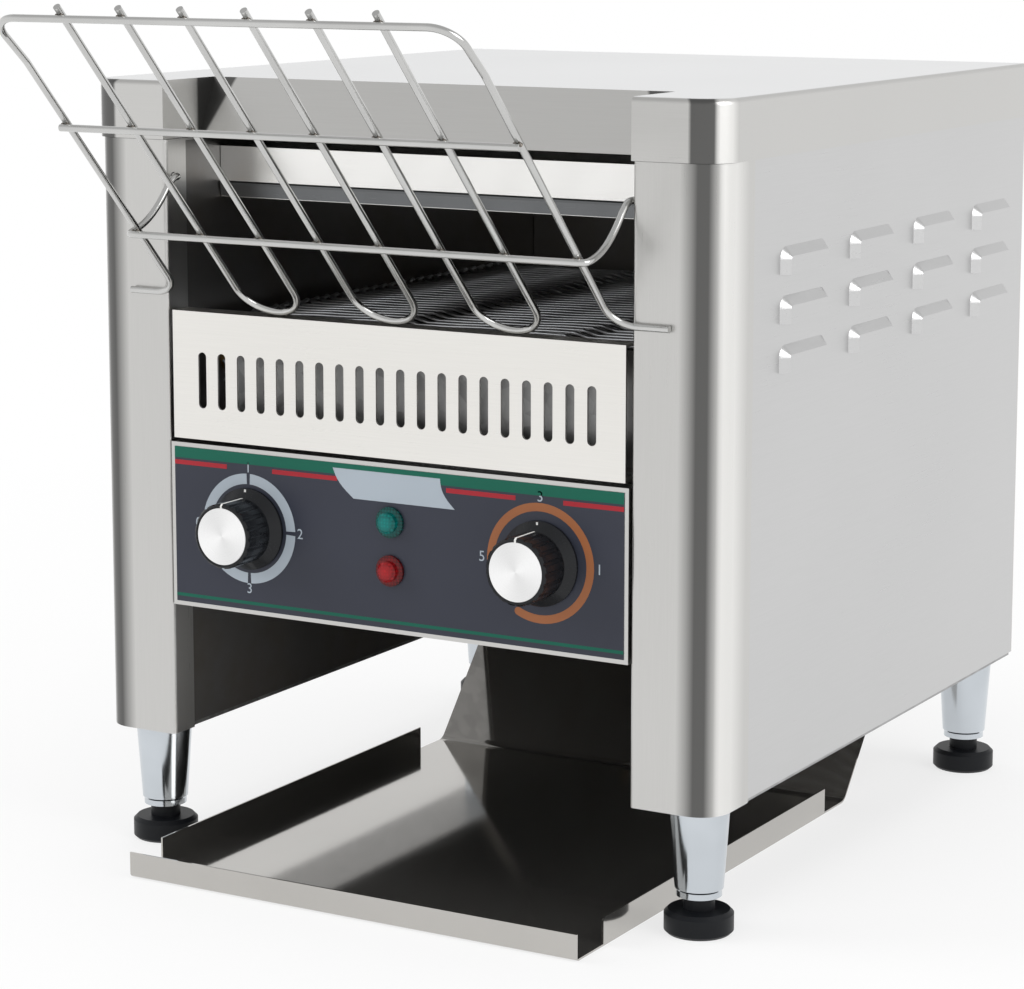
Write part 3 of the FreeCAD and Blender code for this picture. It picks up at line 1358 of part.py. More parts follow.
def build_drive():
    x, wide = number(CHAIN_X), number("ChainWide")
    chain_wheel("drive_sprocket", 1, x - wide / 2, x + wide / 2, number("ShaftRadius"),
                number("ShaftRadius") + 4)
    chain_wheel("motor_sprocket", 0, x - wide / 2, x + wide / 2 + number("BracketClear+MotorShaftIn"), 0,
                number("MotorShaft-Gap"))
    drive_chain()
    motor_bracket()
    gear_motor()
    fan_housing()
    fan_rotor()


def check_document():
    doc.recompute()
    failed = [o.Name for o in doc.Objects if "Invalid" in o.State or "Error" in o.State]
    if failed:
        raise RuntimeError(f"failed objects: {failed}")
    for piece in SUBPARTS:
        if piece.Shape.isNull() or not piece.Shape.isValid() or not piece.Shape.Solids:
            raise RuntimeError(f"{piece.Label} has no valid solid")


def export():
    os.makedirs("parts", exist_ok=True)
    for piece in SUBPARTS:
        piece.Shape.exportStep(f"parts/{piece.Label}.step")


build_housing()
build_controls()
build_rack()
build_conveyor()
build_drive()
check_document()
export()
print(f"{len(SUBPARTS)} sub-parts")
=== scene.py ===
import json
import math

import bmesh
import bpy
from bpy.props import FloatProperty, FloatVectorProperty, IntProperty, PointerProperty
from mathutils import Matrix, Vector


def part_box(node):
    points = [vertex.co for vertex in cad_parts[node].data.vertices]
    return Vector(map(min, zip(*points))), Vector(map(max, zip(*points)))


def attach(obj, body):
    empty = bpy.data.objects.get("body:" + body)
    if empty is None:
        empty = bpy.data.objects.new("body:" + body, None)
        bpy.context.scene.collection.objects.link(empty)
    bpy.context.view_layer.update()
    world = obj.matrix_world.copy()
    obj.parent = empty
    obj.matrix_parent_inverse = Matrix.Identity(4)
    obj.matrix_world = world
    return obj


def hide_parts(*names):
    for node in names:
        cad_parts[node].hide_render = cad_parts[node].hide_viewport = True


bl_info = {
    "name": "Conveyor Toaster",
    "version": (1, 0, 0),
    "blender": (4, 5, 0),
    "location": "View3D > Sidebar > Toaster",
    "description": "Dresses the conveyor toaster's frame with its finishes and fine parts",
    "category": "Object",
}

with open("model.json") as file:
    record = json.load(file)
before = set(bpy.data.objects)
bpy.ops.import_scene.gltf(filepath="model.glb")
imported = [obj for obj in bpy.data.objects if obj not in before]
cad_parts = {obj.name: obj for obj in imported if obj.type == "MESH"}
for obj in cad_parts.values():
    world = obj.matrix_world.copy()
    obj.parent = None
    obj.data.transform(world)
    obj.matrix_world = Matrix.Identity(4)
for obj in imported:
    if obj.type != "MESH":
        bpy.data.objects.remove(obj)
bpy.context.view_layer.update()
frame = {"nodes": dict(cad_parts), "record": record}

MM = 0.001
NODES = frame["nodes"]
SLOT_OF = {part["node"]: part["material_slot"] for part in frame["record"]["subparts"]}
LID_LOW, LID_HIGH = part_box("lid")
HOUSING_MIDDLE = (LID_LOW + LID_HIGH) / 2
FACE_LOW, FACE_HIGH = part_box("control_overlay")


# Settings

def length(name, description, default):
    return FloatProperty(name=name, description=description, default=default, unit="LENGTH", precision=5)


def angle(name, description, degrees):
    return FloatProperty(name=name, description=description, default=math.radians(degrees),
                         unit="ROTATION")


def power(name, description, default):
    return FloatProperty(name=name, description=description, default=default, unit="POWER")


def share(name, description, default):
    return FloatProperty(name=name, description=description, default=default, min=0, max=1,
                         subtype="FACTOR")


def colour(name, description, default):
    return FloatVectorProperty(name=name, description=description, default=default, size=3, min=0,
                               max=1, subtype="COLOR")


class CameraSettings(bpy.types.PropertyGroup):
    """Where the camera stands and how it looks."""

    turn: angle("Turn", "How far the camera stands round to the right of the front", 30.016)
    rise: angle("Rise", "How far the camera looks down", 8.807)
    distance: length("Distance", "From the camera to the point it looks at", 1.7656)
    aim_x: length("Aim X", "Where the camera looks, from the middle of the housing", -0.0429)
    aim_z: length("Aim Z", "Height of the point that the camera looks at", 0.2329)
    lens: FloatProperty(name="Lens", description="Focal length in millimetres", default=109.91)
    shift_y: FloatProperty(name="Shift", description="Upright shift of the lens", default=-0.102)


class StageSettings(bpy.types.PropertyGroup):
    """The floor, the light from all round and the lamps."""

    floor_size: length("Floor", "Side of the square floor", 8.0)
    floor_colour: colour("Floor colour", "Colour of the floor", (0.86, 0.86, 0.86))
    floor_white: share("Floor white", "How far the floor near the object turns to plain white", 0.74)
    near: length("Near floor", "Reach of the floor that keeps the shadow", 0.45)
    far: length("Far floor", "Reach beyond which the floor is plain white", 1.25)
    world: FloatProperty(name="World", description="Strength of the light from all round", default=0.55)
    zenith: share("Zenith", "Brightness overhead, as metal shows it, against the horizon's", 0.62)
    key: power("Key", "Power of the large lamp at the front left", 34.0)
    top: power("Top", "Power of the large lamp overhead", 22.0)
    side: power("Side", "Power of the large lamp at the right", 20.0)


class SheetSettings(bpy.types.PropertyGroup):
    """The housing's sheets, how they are finished, and the light and shade painted on them."""

    steel: colour("Steel", "Brushed outer sheet", (0.60, 0.595, 0.58))
    side: colour("Side steel", "Side and rear panels", (0.60, 0.60, 0.60))
    # Painted light: the slotted sheet is the same steel, painted lighter where it catches the light
    bright: colour("Bright steel", "Slotted front sheet", (0.84, 0.825, 0.79))
    flange: colour("Flange", "Upper reflector's front flange", (0.93, 0.92, 0.90))
    # Painted light: the lid's upward faces are painted lighter than its other faces
    top: colour("Top", "Upper face of the lid", (0.86, 0.865, 0.87))
    polished: colour("Polished steel", "Tray", (0.53, 0.515, 0.49))
    galvanised: colour("Galvanised", "Zinc-coated sheet", (0.40, 0.40, 0.40))
    aluminised: colour("Aluminised", "Sheet round the elements", (0.25, 0.245, 0.24))
    # Painted shade: the flange's own steel, painted darker on its rolled edge that faces down
    hem: colour("Hem", "Rolled lower edge of the flange", (0.16, 0.165, 0.17))
    hem_high: length("Hem height", "Height of the flange's rolled edge", 0.0085)
    hem_foot: length("Hem foot", "How far the rolled edge stands out at its bottom", 0.0006)
    hem_up: length("Hem clearance", "From the flange's bottom to the rolled edge's", 0.0003)
    hem_short: length("Hem ends", "How far the rolled edge stops short of the flange's ends", 0.0005)
    # Painted shade: how strongly the reflection band is painted darker on the bent corners
    bend_painted_shade: share("Bend shade", "How far a sheet darkens where it is bent round", 0.93)
    brushed_rough: share("Brushed roughness", "Roughness of the brushed sheet", 0.30)
    polished_rough: share("Polished roughness", "Roughness of the polished sheet", 0.07)
    corner: length("Corner", "Radius of the posts' front corners", 0.016)
    overhang: length("Overhang", "How far the lid stands out over the posts", 0.0016)
    grain: length("Grain", "Width of one brush stroke", 0.0006)


class PrintSettings(bpy.types.PropertyGroup):
    """What is printed on the control panel's overlay."""

    ground: colour("Ground", "Overlay's ground", (0.036, 0.040, 0.058))
    green: colour("Green", "Green stripes", (0.0, 0.120, 0.075))
    red: colour("Red", "Red line", (0.40, 0.018, 0.030))
    pale: colour("Pale", "Tab, ring and numbers", (0.44, 0.50, 0.56))
    brown: colour("Brown", "Arc of the speed dial", (0.36, 0.130, 0.050))
    stripe: length("Stripe", "Height of the upper green stripe", 0.0058)
    line_top: length("Red line", "Distance from the top edge to the red line", 0.0070)
    line: length("Red line height", "Height of the red line", 0.0024)
    lower_up: length("Lower line", "Distance from the bottom edge to the lower line", 0.0028)
    lower: length("Lower line height", "Height of the lower green line", 0.0017)
    thick: length("Ink", "Thickness of the print", 0.00006)
    ring_outer: length("Ring outside", "Outer radius of the left ring", 0.0290)
    ring_inner: length("Ring inside", "Inner radius of the left ring", 0.0235)
    ring_gap: length("Ring gap", "Width of the gaps in the ring", 0.0022)
    arc_outer: length("Arc outside", "Outer radius of the right arc", 0.0303)
    arc_inner: length("Arc inside", "Inner radius of the right arc", 0.0261)
    arc_start: angle("Arc start", "Where the right arc starts, clockwise from the top", -100)
    arc_end: angle("Arc end", "Where the right arc ends, clockwise from the top", 206)
    tab_top: length("Tab top", "From the top edge to the tab", 0.0026)
    tab_high: length("Tab height", "Height of the tab", 0.0150)
    number: length("Numbers", "Height of the numbers", 0.0054)


class DialSettings(bpy.types.PropertyGroup):
    """The two dials."""

    plastic: colour("Plastic", "Black knob", (0.010, 0.011, 0.013))
    cap: colour("Cap", "Spun aluminium cap", (0.90, 0.90, 0.90))
    pointer: colour("Pointer", "White line", (0.85, 0.85, 0.83))
    pointer_wide: length("Pointer width", "Width of the white line", 0.0011)
    pointer_proud: length("Pointer proud", "How far the white line stands out", 0.00008)
    skirt_wide: length("Skirt width", "From the knob's rim to the edge of its skirt", 0.0045)
    skirt_deep: length("Skirt depth", "From the knob's back to the face of its skirt", 0.0030)
    rounding: length("Rounding", "Rounding of the knob's rim", 0.0010)
    ease: length("Ease", "How softly the white line turns onto the skirt", 0.0002)


class LampSettings(bpy.types.PropertyGroup):
    """The two pilot lamps."""

    green: colour("Green lens", "Upper lamp", (0.0, 0.22, 0.20))
    red: colour("Red lens", "Lower lamp", (0.42, 0.010, 0.014))
    facets: IntProperty(name="Facets", description="Rows of facets in a lens", default=9, min=3)


class WireSettings(bpy.types.PropertyGroup):
    """The loading rack's wires and the belt."""

    rack: colour("Rack wire", "Bright steel wire", (0.60, 0.60, 0.59))
    belt: colour("Belt wire", "Steel wire of the belt", (0.62, 0.63, 0.65))
    weld_tint: colour("Weld", "Scorched steel of a weld", (0.20, 0.18, 0.16))
    weld: length("Weld radius", "Radius of a weld bead on the rack", 0.0010)
    tilt: angle("Rack tilt", "Slope of the rack's wires", 46)
    upper_rod: length("Upper rod", "From the stubs up the slope to the upper rod", 0.1306)
    lower_rod: length("Lower rod", "From the stubs up the slope to the lower rod", 0.0506)
    top_bar: length("Top bar", "From the stubs up the slope to the top bar", 0.2076)
    radius: length("Wire radius", "Radius of the rack's wire", 0.0018)
    loop_pitch: length("Loop pitch", "Distance between the middles of the loops", 0.0704)
    loop_half: length("Loop half width", "Half the distance between a loop's wires", 0.0177)
    outer: length("Outer wire", "From the middle to an outer wire", 0.1280)
    pin: length("Pin", "Length of a hook's pin, from its arm", 0.0097)
    turn: length("Arm turn", "Size of the turn between the rod and an arm", 0.0035)
    straight: length("Rod end", "From an arm to the rod's straight part", 0.0120)
    weld_half: length("Weld half length", "Half the length of a weld bead", 0.0011)


class FittingSettings(bpy.types.PropertyGroup):
    """The small metal, ceramic and plastic parts."""

    screw: colour("Screw", "Flange screws", (0.55, 0.55, 0.56))
    zinc: colour("Zinc", "Zinc-plated nuts and panel screws", (0.52, 0.52, 0.53))
    screw_reach: share("Screw reach", "How far out the outer flange screws stand on the panel", 0.78)
    screw_radius: length("Screw radius", "Radius of a flange screw's head", 0.0026)
    screw_drop: length("Screw drop", "Height of a flange screw's head", 0.0017)
    sheath: colour("Element sheath", "Heating rods", (0.10, 0.095, 0.09))
    ceramic: colour("Ceramic", "Bushes of the heating rods", (0.78, 0.76, 0.70))
    machined: colour("Machined steel", "Shafts and belt discs", (0.42, 0.415, 0.40))
    spindle: colour("Spindle", "Spindles behind the dials", (0.45, 0.44, 0.42))
    chain: colour("Chain", "Chain and its wheels", (0.16, 0.15, 0.14))
    bronze: colour("Bronze", "Bushes of the shafts", (0.50, 0.34, 0.16))
    motor: colour("Motor", "Paint of the gear motor", (0.12, 0.125, 0.13))
    chrome: colour("Chrome", "Legs", (0.62, 0.66, 0.70))
    rubber: colour("Rubber", "Feet", (0.007, 0.008, 0.010))
    plastic: colour("Plastic", "Gland, fan and other black fittings", (0.016, 0.016, 0.018))


class ToasterSettings(bpy.types.PropertyGroup):
    """Every group of settings."""

    camera: PointerProperty(type=CameraSettings)
    stage: PointerProperty(type=StageSettings)
    sheet: PointerProperty(type=SheetSettings)
    ink: PointerProperty(type=PrintSettings)
    dial: PointerProperty(type=DialSettings)
    lamp: PointerProperty(type=LampSettings)
    wire: PointerProperty(type=WireSettings)
    fitting: PointerProperty(type=FittingSettings)


# Shader expressions

class Term:
    """An output socket that can be used in sums and products."""

    def __init__(self, graph, socket):
        self.graph = graph
        self.socket = socket

    def math(self, operation, *values):
        inputs = dict(enumerate(values))
        return self.graph.node("ShaderNodeMath", {"operation": operation}, inputs)

    def __add__(self, other):
        return self.math("ADD", self, other)

    def __sub__(self, other):
        return self.math("SUBTRACT", self, other)

    def __rsub__(self, other):
        return self.math("SUBTRACT", other, self)

    def __mul__(self, other):
        return self.math("MULTIPLY", self, other)

    def __truediv__(self, other):
        return self.math("DIVIDE", self, other)

    def __pow__(self, other):
        return self.math("POWER", self, other)

    def __abs__(self):
        return self.math("ABSOLUTE", self)

    __radd__ = __add__
    __rmul__ = __mul__


class Graph:
    """A node tree whose nodes are all made by one method."""

    def __init__(self, owner):
        owner.use_nodes = True
        self.tree = owner.node_tree
        self.tree.nodes.clear()

    def node(self, kind, settings=None, inputs=None, output=0):
        made = self.tree.nodes.new(kind)
        for name, value in (settings or {}).items():
            if name == "stops":
                self.set_stops(made.color_ramp, value)
            else:
                setattr(made, name, value)
        for name, value in (inputs or {}).items():
            if isinstance(value, Term):
                self.tree.links.new(value.socket, made.inputs[name])
            else:
                made.inputs[name].default_value = value
        return Term(self, made.outputs[output]) if made.outputs else made

    def set_stops(self, ramp, stops):
        while len(ramp.elements) < len(stops):
            ramp.elements.new(1)
        for element, (position, value) in zip(ramp.elements, stops):
            element.position = position
            element.color = (value, value, value, 1)

    def place(self, kind="Object"):
        return self.node("ShaderNodeTexCoord", output=kind)

    def axes(self, vector):
        """The three parts of a vector."""
        node = self.node("ShaderNodeSeparateXYZ", inputs={0: vector}).socket.node
        return tuple(Term(self, part) for part in node.outputs)

    def from_point(self, centre):
        """Object coordinates measured from a point."""
        return self.node("ShaderNodeVectorMath", {"operation": "SUBTRACT"}, {0: self.place(), 1: centre})

    def reach(self, first, second):
        """The distance that two parts of a vector make together."""
        return (first * first + second * second) ** 0.5

    def stretched(self, scale):
        """Object coordinates multiplied by a scale along each axis."""
        return self.node("ShaderNodeVectorMath", {"operation": "MULTIPLY"}, {0: self.place(), 1: scale})

    def noise(self, vector, scale=1.0, detail=2.0, rough=0.5):
        return self.node("ShaderNodeTexNoise", inputs={"Vector": vector, "Scale": scale,
                                                       "Detail": detail, "Roughness": rough})

    def ramp(self, factor, *stops):
        return self.node("ShaderNodeValToRGB", {"stops": stops}, {"Fac": factor})

    def blend(self, factor, first, second):
        """A colour between two, each a plain colour or a link."""
        settings = {"data_type": "RGBA"}
        return self.node("ShaderNodeMix", settings, {0: factor, 6: opaque(first), 7: opaque(second)},
                         output=2)

    def bump(self, height, strength, distance):
        return self.node("ShaderNodeBump", inputs={"Height": height, "Strength": strength,
                                                   "Distance": distance})

    def finish(self, surface):
        self.node("ShaderNodeOutputMaterial", inputs={"Surface": surface})


def opaque(value):
    """A link as it is, or a plain colour with its alpha."""
    return value if isinstance(value, Term) else (*value, 1)


def scaled(value, factor):
    """A plain colour made lighter or darker."""
    return tuple(min(1.0, part * factor) for part in value)


def new_graph(name):
    """A new material and its empty node tree."""
    material = bpy.data.materials.new(name)
    return material, Graph(material)


def principled(graph, **sockets):
    """Ends a material with the Principled shader, whose sockets are named with underscores."""
    names = {key.replace("_", " "): value for key, value in sockets.items()}
    graph.finish(graph.node("ShaderNodeBsdfPrincipled", inputs=names))


# Materials

GRAIN_ALONG = {"x": (0.02, 1.0, 1.0), "y": (1.0, 0.02, 1.0), "z": (1.0, 1.0, 0.02)}
BRUSH_DEPTH = 0.02 * MM
SWIRL_DEPTH = 0.4 * MM
MOULD_DEPTH = 0.03 * MM
PRINT_DEPTH = 0.01 * MM
LENS_RADIUS = 8.0 * MM


def brushed_sheet(name, tint, rough, grain, along, painted_bend=None, painted_top_light=None):
    """Brushed sheet, with its strokes along one axis. A bent corner gets a painted reflection, a band
    painted darker and then a stripe painted lighter, and faces that point up get a painted lighter top.
    """
    material, graph = new_graph(name)
    scale = tuple(part / grain for part in GRAIN_ALONG[along])
    strokes = graph.noise(graph.stretched(scale), detail=3.0)
    clouds = graph.noise(graph.stretched((5.0, 5.0, 5.0)), detail=2.0)
    shade = strokes * 0.45 + clouds * 0.55
    base = graph.blend(shade, scaled(tint, 0.90), scaled(tint, 1.08))
    if painted_bend:
        across, depth, _ = graph.axes(graph.place())
        round_turn = (abs(across) + depth - painted_bend.start) / (4 * painted_bend.radius) + 0.25
        # Painted reflection: a band painted darker, then a stripe painted lighter, round the bent corner
        base = graph.blend(graph.ramp(round_turn, *painted_bend.dark) * painted_bend.shade, base, scaled(tint, 0.15))
        base = graph.blend(graph.ramp(round_turn, *painted_bend.light) * 0.7, base, scaled(tint, 1.5))
    # Painted light: faces that point up take the lighter painted top colour
    if painted_top_light:
        _, _, up = graph.axes(graph.place("Normal"))
        base = graph.blend(graph.ramp(up, (0.90, 0.0), (0.985, 1.0)), base, painted_top_light)
    roughness = strokes * 0.10 + clouds * 0.06 + (rough - 0.08)
    principled(graph, Base_Color=base, Metallic=1.0, Roughness=roughness,
               Normal=graph.bump(strokes, 0.05, BRUSH_DEPTH))
    return material


class Bend:
    """Where a front corner is bent round, and the painted reflection on it from front to side: a band
    painted darker, then a stripe painted lighter.
    """

    def __init__(self, node, radius, shade, dark, light):
        low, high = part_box(node)
        half = max(abs(low.x), abs(high.x))
        self.start = half - radius + low.y
        self.radius = radius
        self.shade = shade
        self.dark = tuple(zip(dark, (0.0, 1.0, 1.0, 0.0)))
        self.light = tuple(zip(light, (0.0, 1.0, 1.0, 0.0)))


def polished_sheet(name, tint, rough):
    """Mirror-polished sheet with faint swirls and wear."""
    material, graph = new_graph(name)
    swirls = graph.noise(graph.stretched((9.0, 7.0, 9.0)), detail=5.0, rough=0.6)
    scratches = graph.noise(graph.stretched((900.0, 18.0, 900.0)), detail=2.0)
    base = graph.blend(swirls, scaled(tint, 0.9), scaled(tint, 1.08))
    roughness = swirls * 0.05 + scratches * 0.04 + (rough - 0.04)
    principled(graph, Base_Color=base, Metallic=0.93, Roughness=roughness,
               Normal=graph.bump(swirls, 0.10, SWIRL_DEPTH))
    return material


def zinc_sheet(name, tint, rough=0.38, spangle=0.007):
    """Galvanised sheet with its zinc spangle."""
    material, graph = new_graph(name)
    cells = graph.node("ShaderNodeTexVoronoi", inputs={"Vector": graph.place(), "Scale": 1 / spangle},
                       output="Color")
    tone = graph.node("ShaderNodeSeparateColor", inputs={0: cells})
    clouds = graph.noise(graph.stretched((14.0, 14.0, 14.0)), detail=3.0)
    base = graph.blend(tone, scaled(tint, 0.82), scaled(tint, 1.12))
    principled(graph, Base_Color=base, Metallic=1.0, Roughness=tone * 0.12 + clouds * 0.1 + (rough - 0.1))
    return material


def heated_sheet(name, tint):
    """Aluminised sheet that has been hot, browned in patches."""
    material, graph = new_graph(name)
    patches = graph.noise(graph.stretched((16.0, 16.0, 16.0)), detail=6.0, rough=0.6)
    browned = graph.ramp(patches, (0.42, 0.0), (0.72, 1.0))
    base = graph.blend(browned * 0.5, tint, scaled((tint[0], tint[1] * 0.82, tint[2] * 0.62), 0.75))
    principled(graph, Base_Color=base, Metallic=1.0, Roughness=patches * 0.2 + 0.28)
    return material


def bright_wire(name, tint, rough):
    """Drawn or plated wire and turned steel, with fine streaks."""
    material, graph = new_graph(name)
    streaks = graph.noise(graph.stretched((90.0, 90.0, 90.0)), detail=2.0)
    clouds = graph.noise(graph.stretched((30.0, 30.0, 30.0)), detail=2.0)
    base = graph.blend(clouds, scaled(tint, 0.82), scaled(tint, 1.10))
    principled(graph, Base_Color=base, Metallic=1.0, Roughness=streaks * 0.08 + (rough - 0.04),
               Normal=graph.bump(streaks, 0.02, BRUSH_DEPTH))
    return material


def moulded(name, tint, rough, coat=0.0, grain=1400.0):
    """Moulded plastic, rubber or cast ceramic, with a fine grain."""
    material, graph = new_graph(name)
    fine = graph.noise(graph.place(), scale=grain, detail=2.0)
    clouds = graph.noise(graph.place(), scale=45.0, detail=2.0)
    base = graph.blend(clouds, scaled(tint, 0.85), scaled(tint, 1.2))
    principled(graph, Base_Color=base, Roughness=fine * 0.08 + clouds * 0.06 + (rough - 0.07),
               Specular_IOR_Level=0.22, Coat_Weight=coat, Coat_Roughness=0.12,
               Normal=graph.bump(fine, 0.25, MOULD_DEPTH))
    return material


def printed(name, tint, rough=0.36):
    """Ink or film with a very fine texture."""
    material, graph = new_graph(name)
    fine = graph.noise(graph.place(), scale=2600.0, detail=2.0)
    clouds = graph.noise(graph.place(), scale=22.0, detail=2.0)
    base = graph.blend(clouds, scaled(tint, 0.92), scaled(tint, 1.08))
    principled(graph, Base_Color=base, Roughness=fine * 0.06 + (rough - 0.03), Specular_IOR_Level=0.3,
               Normal=graph.bump(fine, 0.15, PRINT_DEPTH))
    return material


def spun_cap(name, tint, centre):
    """Aluminium disc spun round the dial's axis, with a painted radial sheen."""
    material, graph = new_graph(name)
    across, _, up = graph.axes(graph.from_point(centre))
    reach = graph.reach(across, up)
    rings = graph.node("ShaderNodeTexNoise", {"noise_dimensions": "1D"},
                       {"W": reach, "Scale": 2600.0, "Detail": 2.0})
    turn = graph.node("ShaderNodeMath", {"operation": "ARCTAN2"}, {0: up, 1: across})
    # Painted sheen: the colour turns lighter and darker in two lobes round the axis
    sweep = graph.node("ShaderNodeMath", {"operation": "SINE"}, {0: turn * 2 + 0.6})
    base = graph.blend(sweep * 0.5 + 0.5, scaled(tint, 0.90), scaled(tint, 1.06))
    principled(graph, Base_Color=base, Metallic=1.0, Roughness=rings * 0.12 + 0.24,
               Normal=graph.bump(rings, 0.2, BRUSH_DEPTH))
    return material


def lens(name, tint, facets, centre):
    """Coloured lamp lens with moulded facets: painted shade at its rim, painted light in its middle,
    painted glints on its facets, and a faint glow in its middle.
    """
    material, graph = new_graph(name)
    across, _, up = graph.axes(graph.from_point(centre))
    reach = graph.reach(across, up)
    cells = graph.node("ShaderNodeTexVoronoi", {"feature": "F1"},
                       {"Vector": graph.place(), "Scale": facets / (2 * LENS_RADIUS), "Randomness": 0.15},
                       output="Distance")
    # Painted light: the colour runs from a rim painted darker to a middle painted lighter, with a painted
    # glint on each facet
    glint = graph.ramp(cells, (0.10, 1.0), (0.60, 0.0))
    inner = graph.ramp(reach / LENS_RADIUS, (0.25, 1.0), (0.95, 0.0))
    base = graph.blend(inner * 0.6 + glint * 0.25, scaled(tint, 0.10), scaled(tint, 1.25))
    shine = graph.blend(inner * glint, (0.0, 0.0, 0.0), scaled(tint, 0.7))
    principled(graph, Base_Color=base, Roughness=glint * 0.1 + 0.12, Specular_IOR_Level=0.3,
               Emission_Color=shine, Emission_Strength=0.35, Normal=graph.bump(cells, 0.25, SWIRL_DEPTH))
    return material


# Meshes

# Out from the flange and down from the hem's top, in millimetres
HEM_ROLL = ((0.0, 0.0), (1.2, 0.8), (1.6, 2.0))
# Shares of an arm's way back and up, from the rack's lower rod to its pin
ARM_SWEEP = ((0.08, 0.0), (0.36, 0.15), (0.62, 0.48), (0.86, 0.97), (1.0, 1.0))
# Gaps of the red line in millimetres, from the left dial, the middle and the right dial
LINE_GAPS = ((-13.5, 15.0), (-32.0, 33.0), (-14.0, 13.0))
# Start, lean and bow of the tab's sides in millimetres
TAB_SIDES = ((29.5, 8.5, 2.4), (-34.5, 12.5, 2.2))
TAB_STEPS = 8
RING_STEPS = 16
ARC_STEPS = 48
CAP_STEPS = 8
LEFT_MARKS = ((-90, "0"), (0, "1"), (90, "2"), (180, "3"))
RIGHT_MARKS = ((-90, "5"), (0, "3"), (90, "1"))
# Size of the font and a number's distance from its ring, for a number one high
FONT_SIZE = 1.4
NUMBER_OFFSET = 0.55
BEAD_TIP = 0.35
BEAD_RIPPLE = 0.12
RIPPLE_TURN = 9


def dress(node, material):
    """Gives a frame node its finish through its material slots."""
    mesh = NODES[node].data
    if not mesh.materials:
        mesh.materials.append(material)
    for place in range(len(mesh.materials)):
        mesh.materials[place] = material


def new_piece(name, body, material, mesh):
    """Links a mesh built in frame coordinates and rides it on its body."""
    data = bpy.data.meshes.new(name)
    mesh.normal_update()
    mesh.to_mesh(data)
    mesh.free()
    data.materials.append(material)
    piece = bpy.data.objects.new(name, data)
    bpy.context.scene.collection.objects.link(piece)
    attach(piece, body)
    return piece


def add_prism(mesh, outline, back, front):
    """A flat plate with an outline in X and Z, from y = back out to y = front."""
    rear = [mesh.verts.new((x, back, z)) for x, z in outline]
    face = [mesh.verts.new((x, front, z)) for x, z in outline]
    mesh.faces.new(face)
    mesh.faces.new(rear[::-1])
    for k in range(len(outline)):
        after = (k + 1) % len(outline)
        mesh.faces.new((rear[k], rear[after], face[after], face[k]))


def box_outline(x_low, z_low, x_high, z_high):
    return [(x_low, z_low), (x_high, z_low), (x_high, z_high), (x_low, z_high)]


def sector(centre, inner, outer, start, end, steps):
    """Outline of a ring's part. Angles run clockwise from twelve o'clock, seen from the front."""
    turns = [start + (end - start) * k / steps for k in range(steps + 1)]

    def point(radius, turn):
        return centre.x + radius * math.sin(turn), centre.z + radius * math.cos(turn)

    return [point(outer, t) for t in turns] + [point(inner, t) for t in reversed(turns)]


def add_strip(mesh, points, wide, proud, across):
    """A thin ribbon along points, with its width across and its thickness outward."""
    rows = []
    for point, outward in points:
        middle = Vector(point)
        lift = Vector(outward).normalized() * proud
        rows.append([mesh.verts.new(middle + across * side * wide / 2 + rise)
                     for side, rise in ((-1, lift), (1, lift), (1, -lift), (-1, -lift))])
    for first, second in zip(rows, rows[1:]):
        for k in range(4):
            after = (k + 1) % 4
            mesh.faces.new((first[k], first[after], second[after], second[k]))
    mesh.faces.new(rows[0][::-1])
    mesh.faces.new(rows[-1])


def number_outlines(text, height):
    """Mesh of a plain number in Blender's own font, centred on the origin in X and Y."""
    curve = bpy.data.curves.new(f"number_{text}", "FONT")
    curve.body = text
    curve.size = height * FONT_SIZE
    curve.align_x = "CENTER"
    curve.align_y = "CENTER"
    return mesh_of(curve)


def add_bead(mesh, start, end, radius, steps=10, sides=8):
    """A weld bead between two points, thick in the middle and rippled along its length."""
    run = end - start
    side = run.normalized().orthogonal()
    rows = []
    for step in range(steps + 1):
        along = step / steps
        swell = radius * (BEAD_TIP + (1 - BEAD_TIP) * math.sin(math.pi * along))
        swell *= 1 + BEAD_RIPPLE * math.sin(RIPPLE_TURN * step)
        rows.append([mesh.verts.new(start + run * along + Matrix.Rotation(2 * math.pi * k / sides, 3, run)
                                    @ side * swell) for k in range(sides)])
    for first, second in zip(rows, rows[1:]):
        for k in range(sides):
            after = (k + 1) % sides
            mesh.faces.new((first[k], first[after], second[after], second[k]))
    mesh.faces.new(rows[0][::-1])
    mesh.faces.new(rows[-1])


def mesh_of(curve):
    """Mesh of a curve or text, which is then removed."""
    holder = bpy.data.objects.new(curve.name, curve)
    flat = bpy.data.meshes.new_from_object(holder)
    bpy.data.objects.remove(holder)
    bpy.data.curves.remove(curve)
    return flat


def swept_wire(points, radius):
    """A round wire along a smooth line whose control points are given."""
    curve = bpy.data.curves.new("wire", "CURVE")
    curve.dimensions = "3D"
    curve.bevel_depth = radius
    curve.bevel_resolution = 5
    curve.resolution_u = 10
    curve.use_fill_caps = True
    spline = curve.splines.new("NURBS")
    spline.points.add(len(points) - 1)
    for point, place in zip(spline.points, points):
        point.co = (*place, 1)
    spline.order_u = 3
    spline.use_endpoint_u = True
    mesh = bmesh.new()
    mesh.from_mesh(mesh_of(curve))
    return mesh


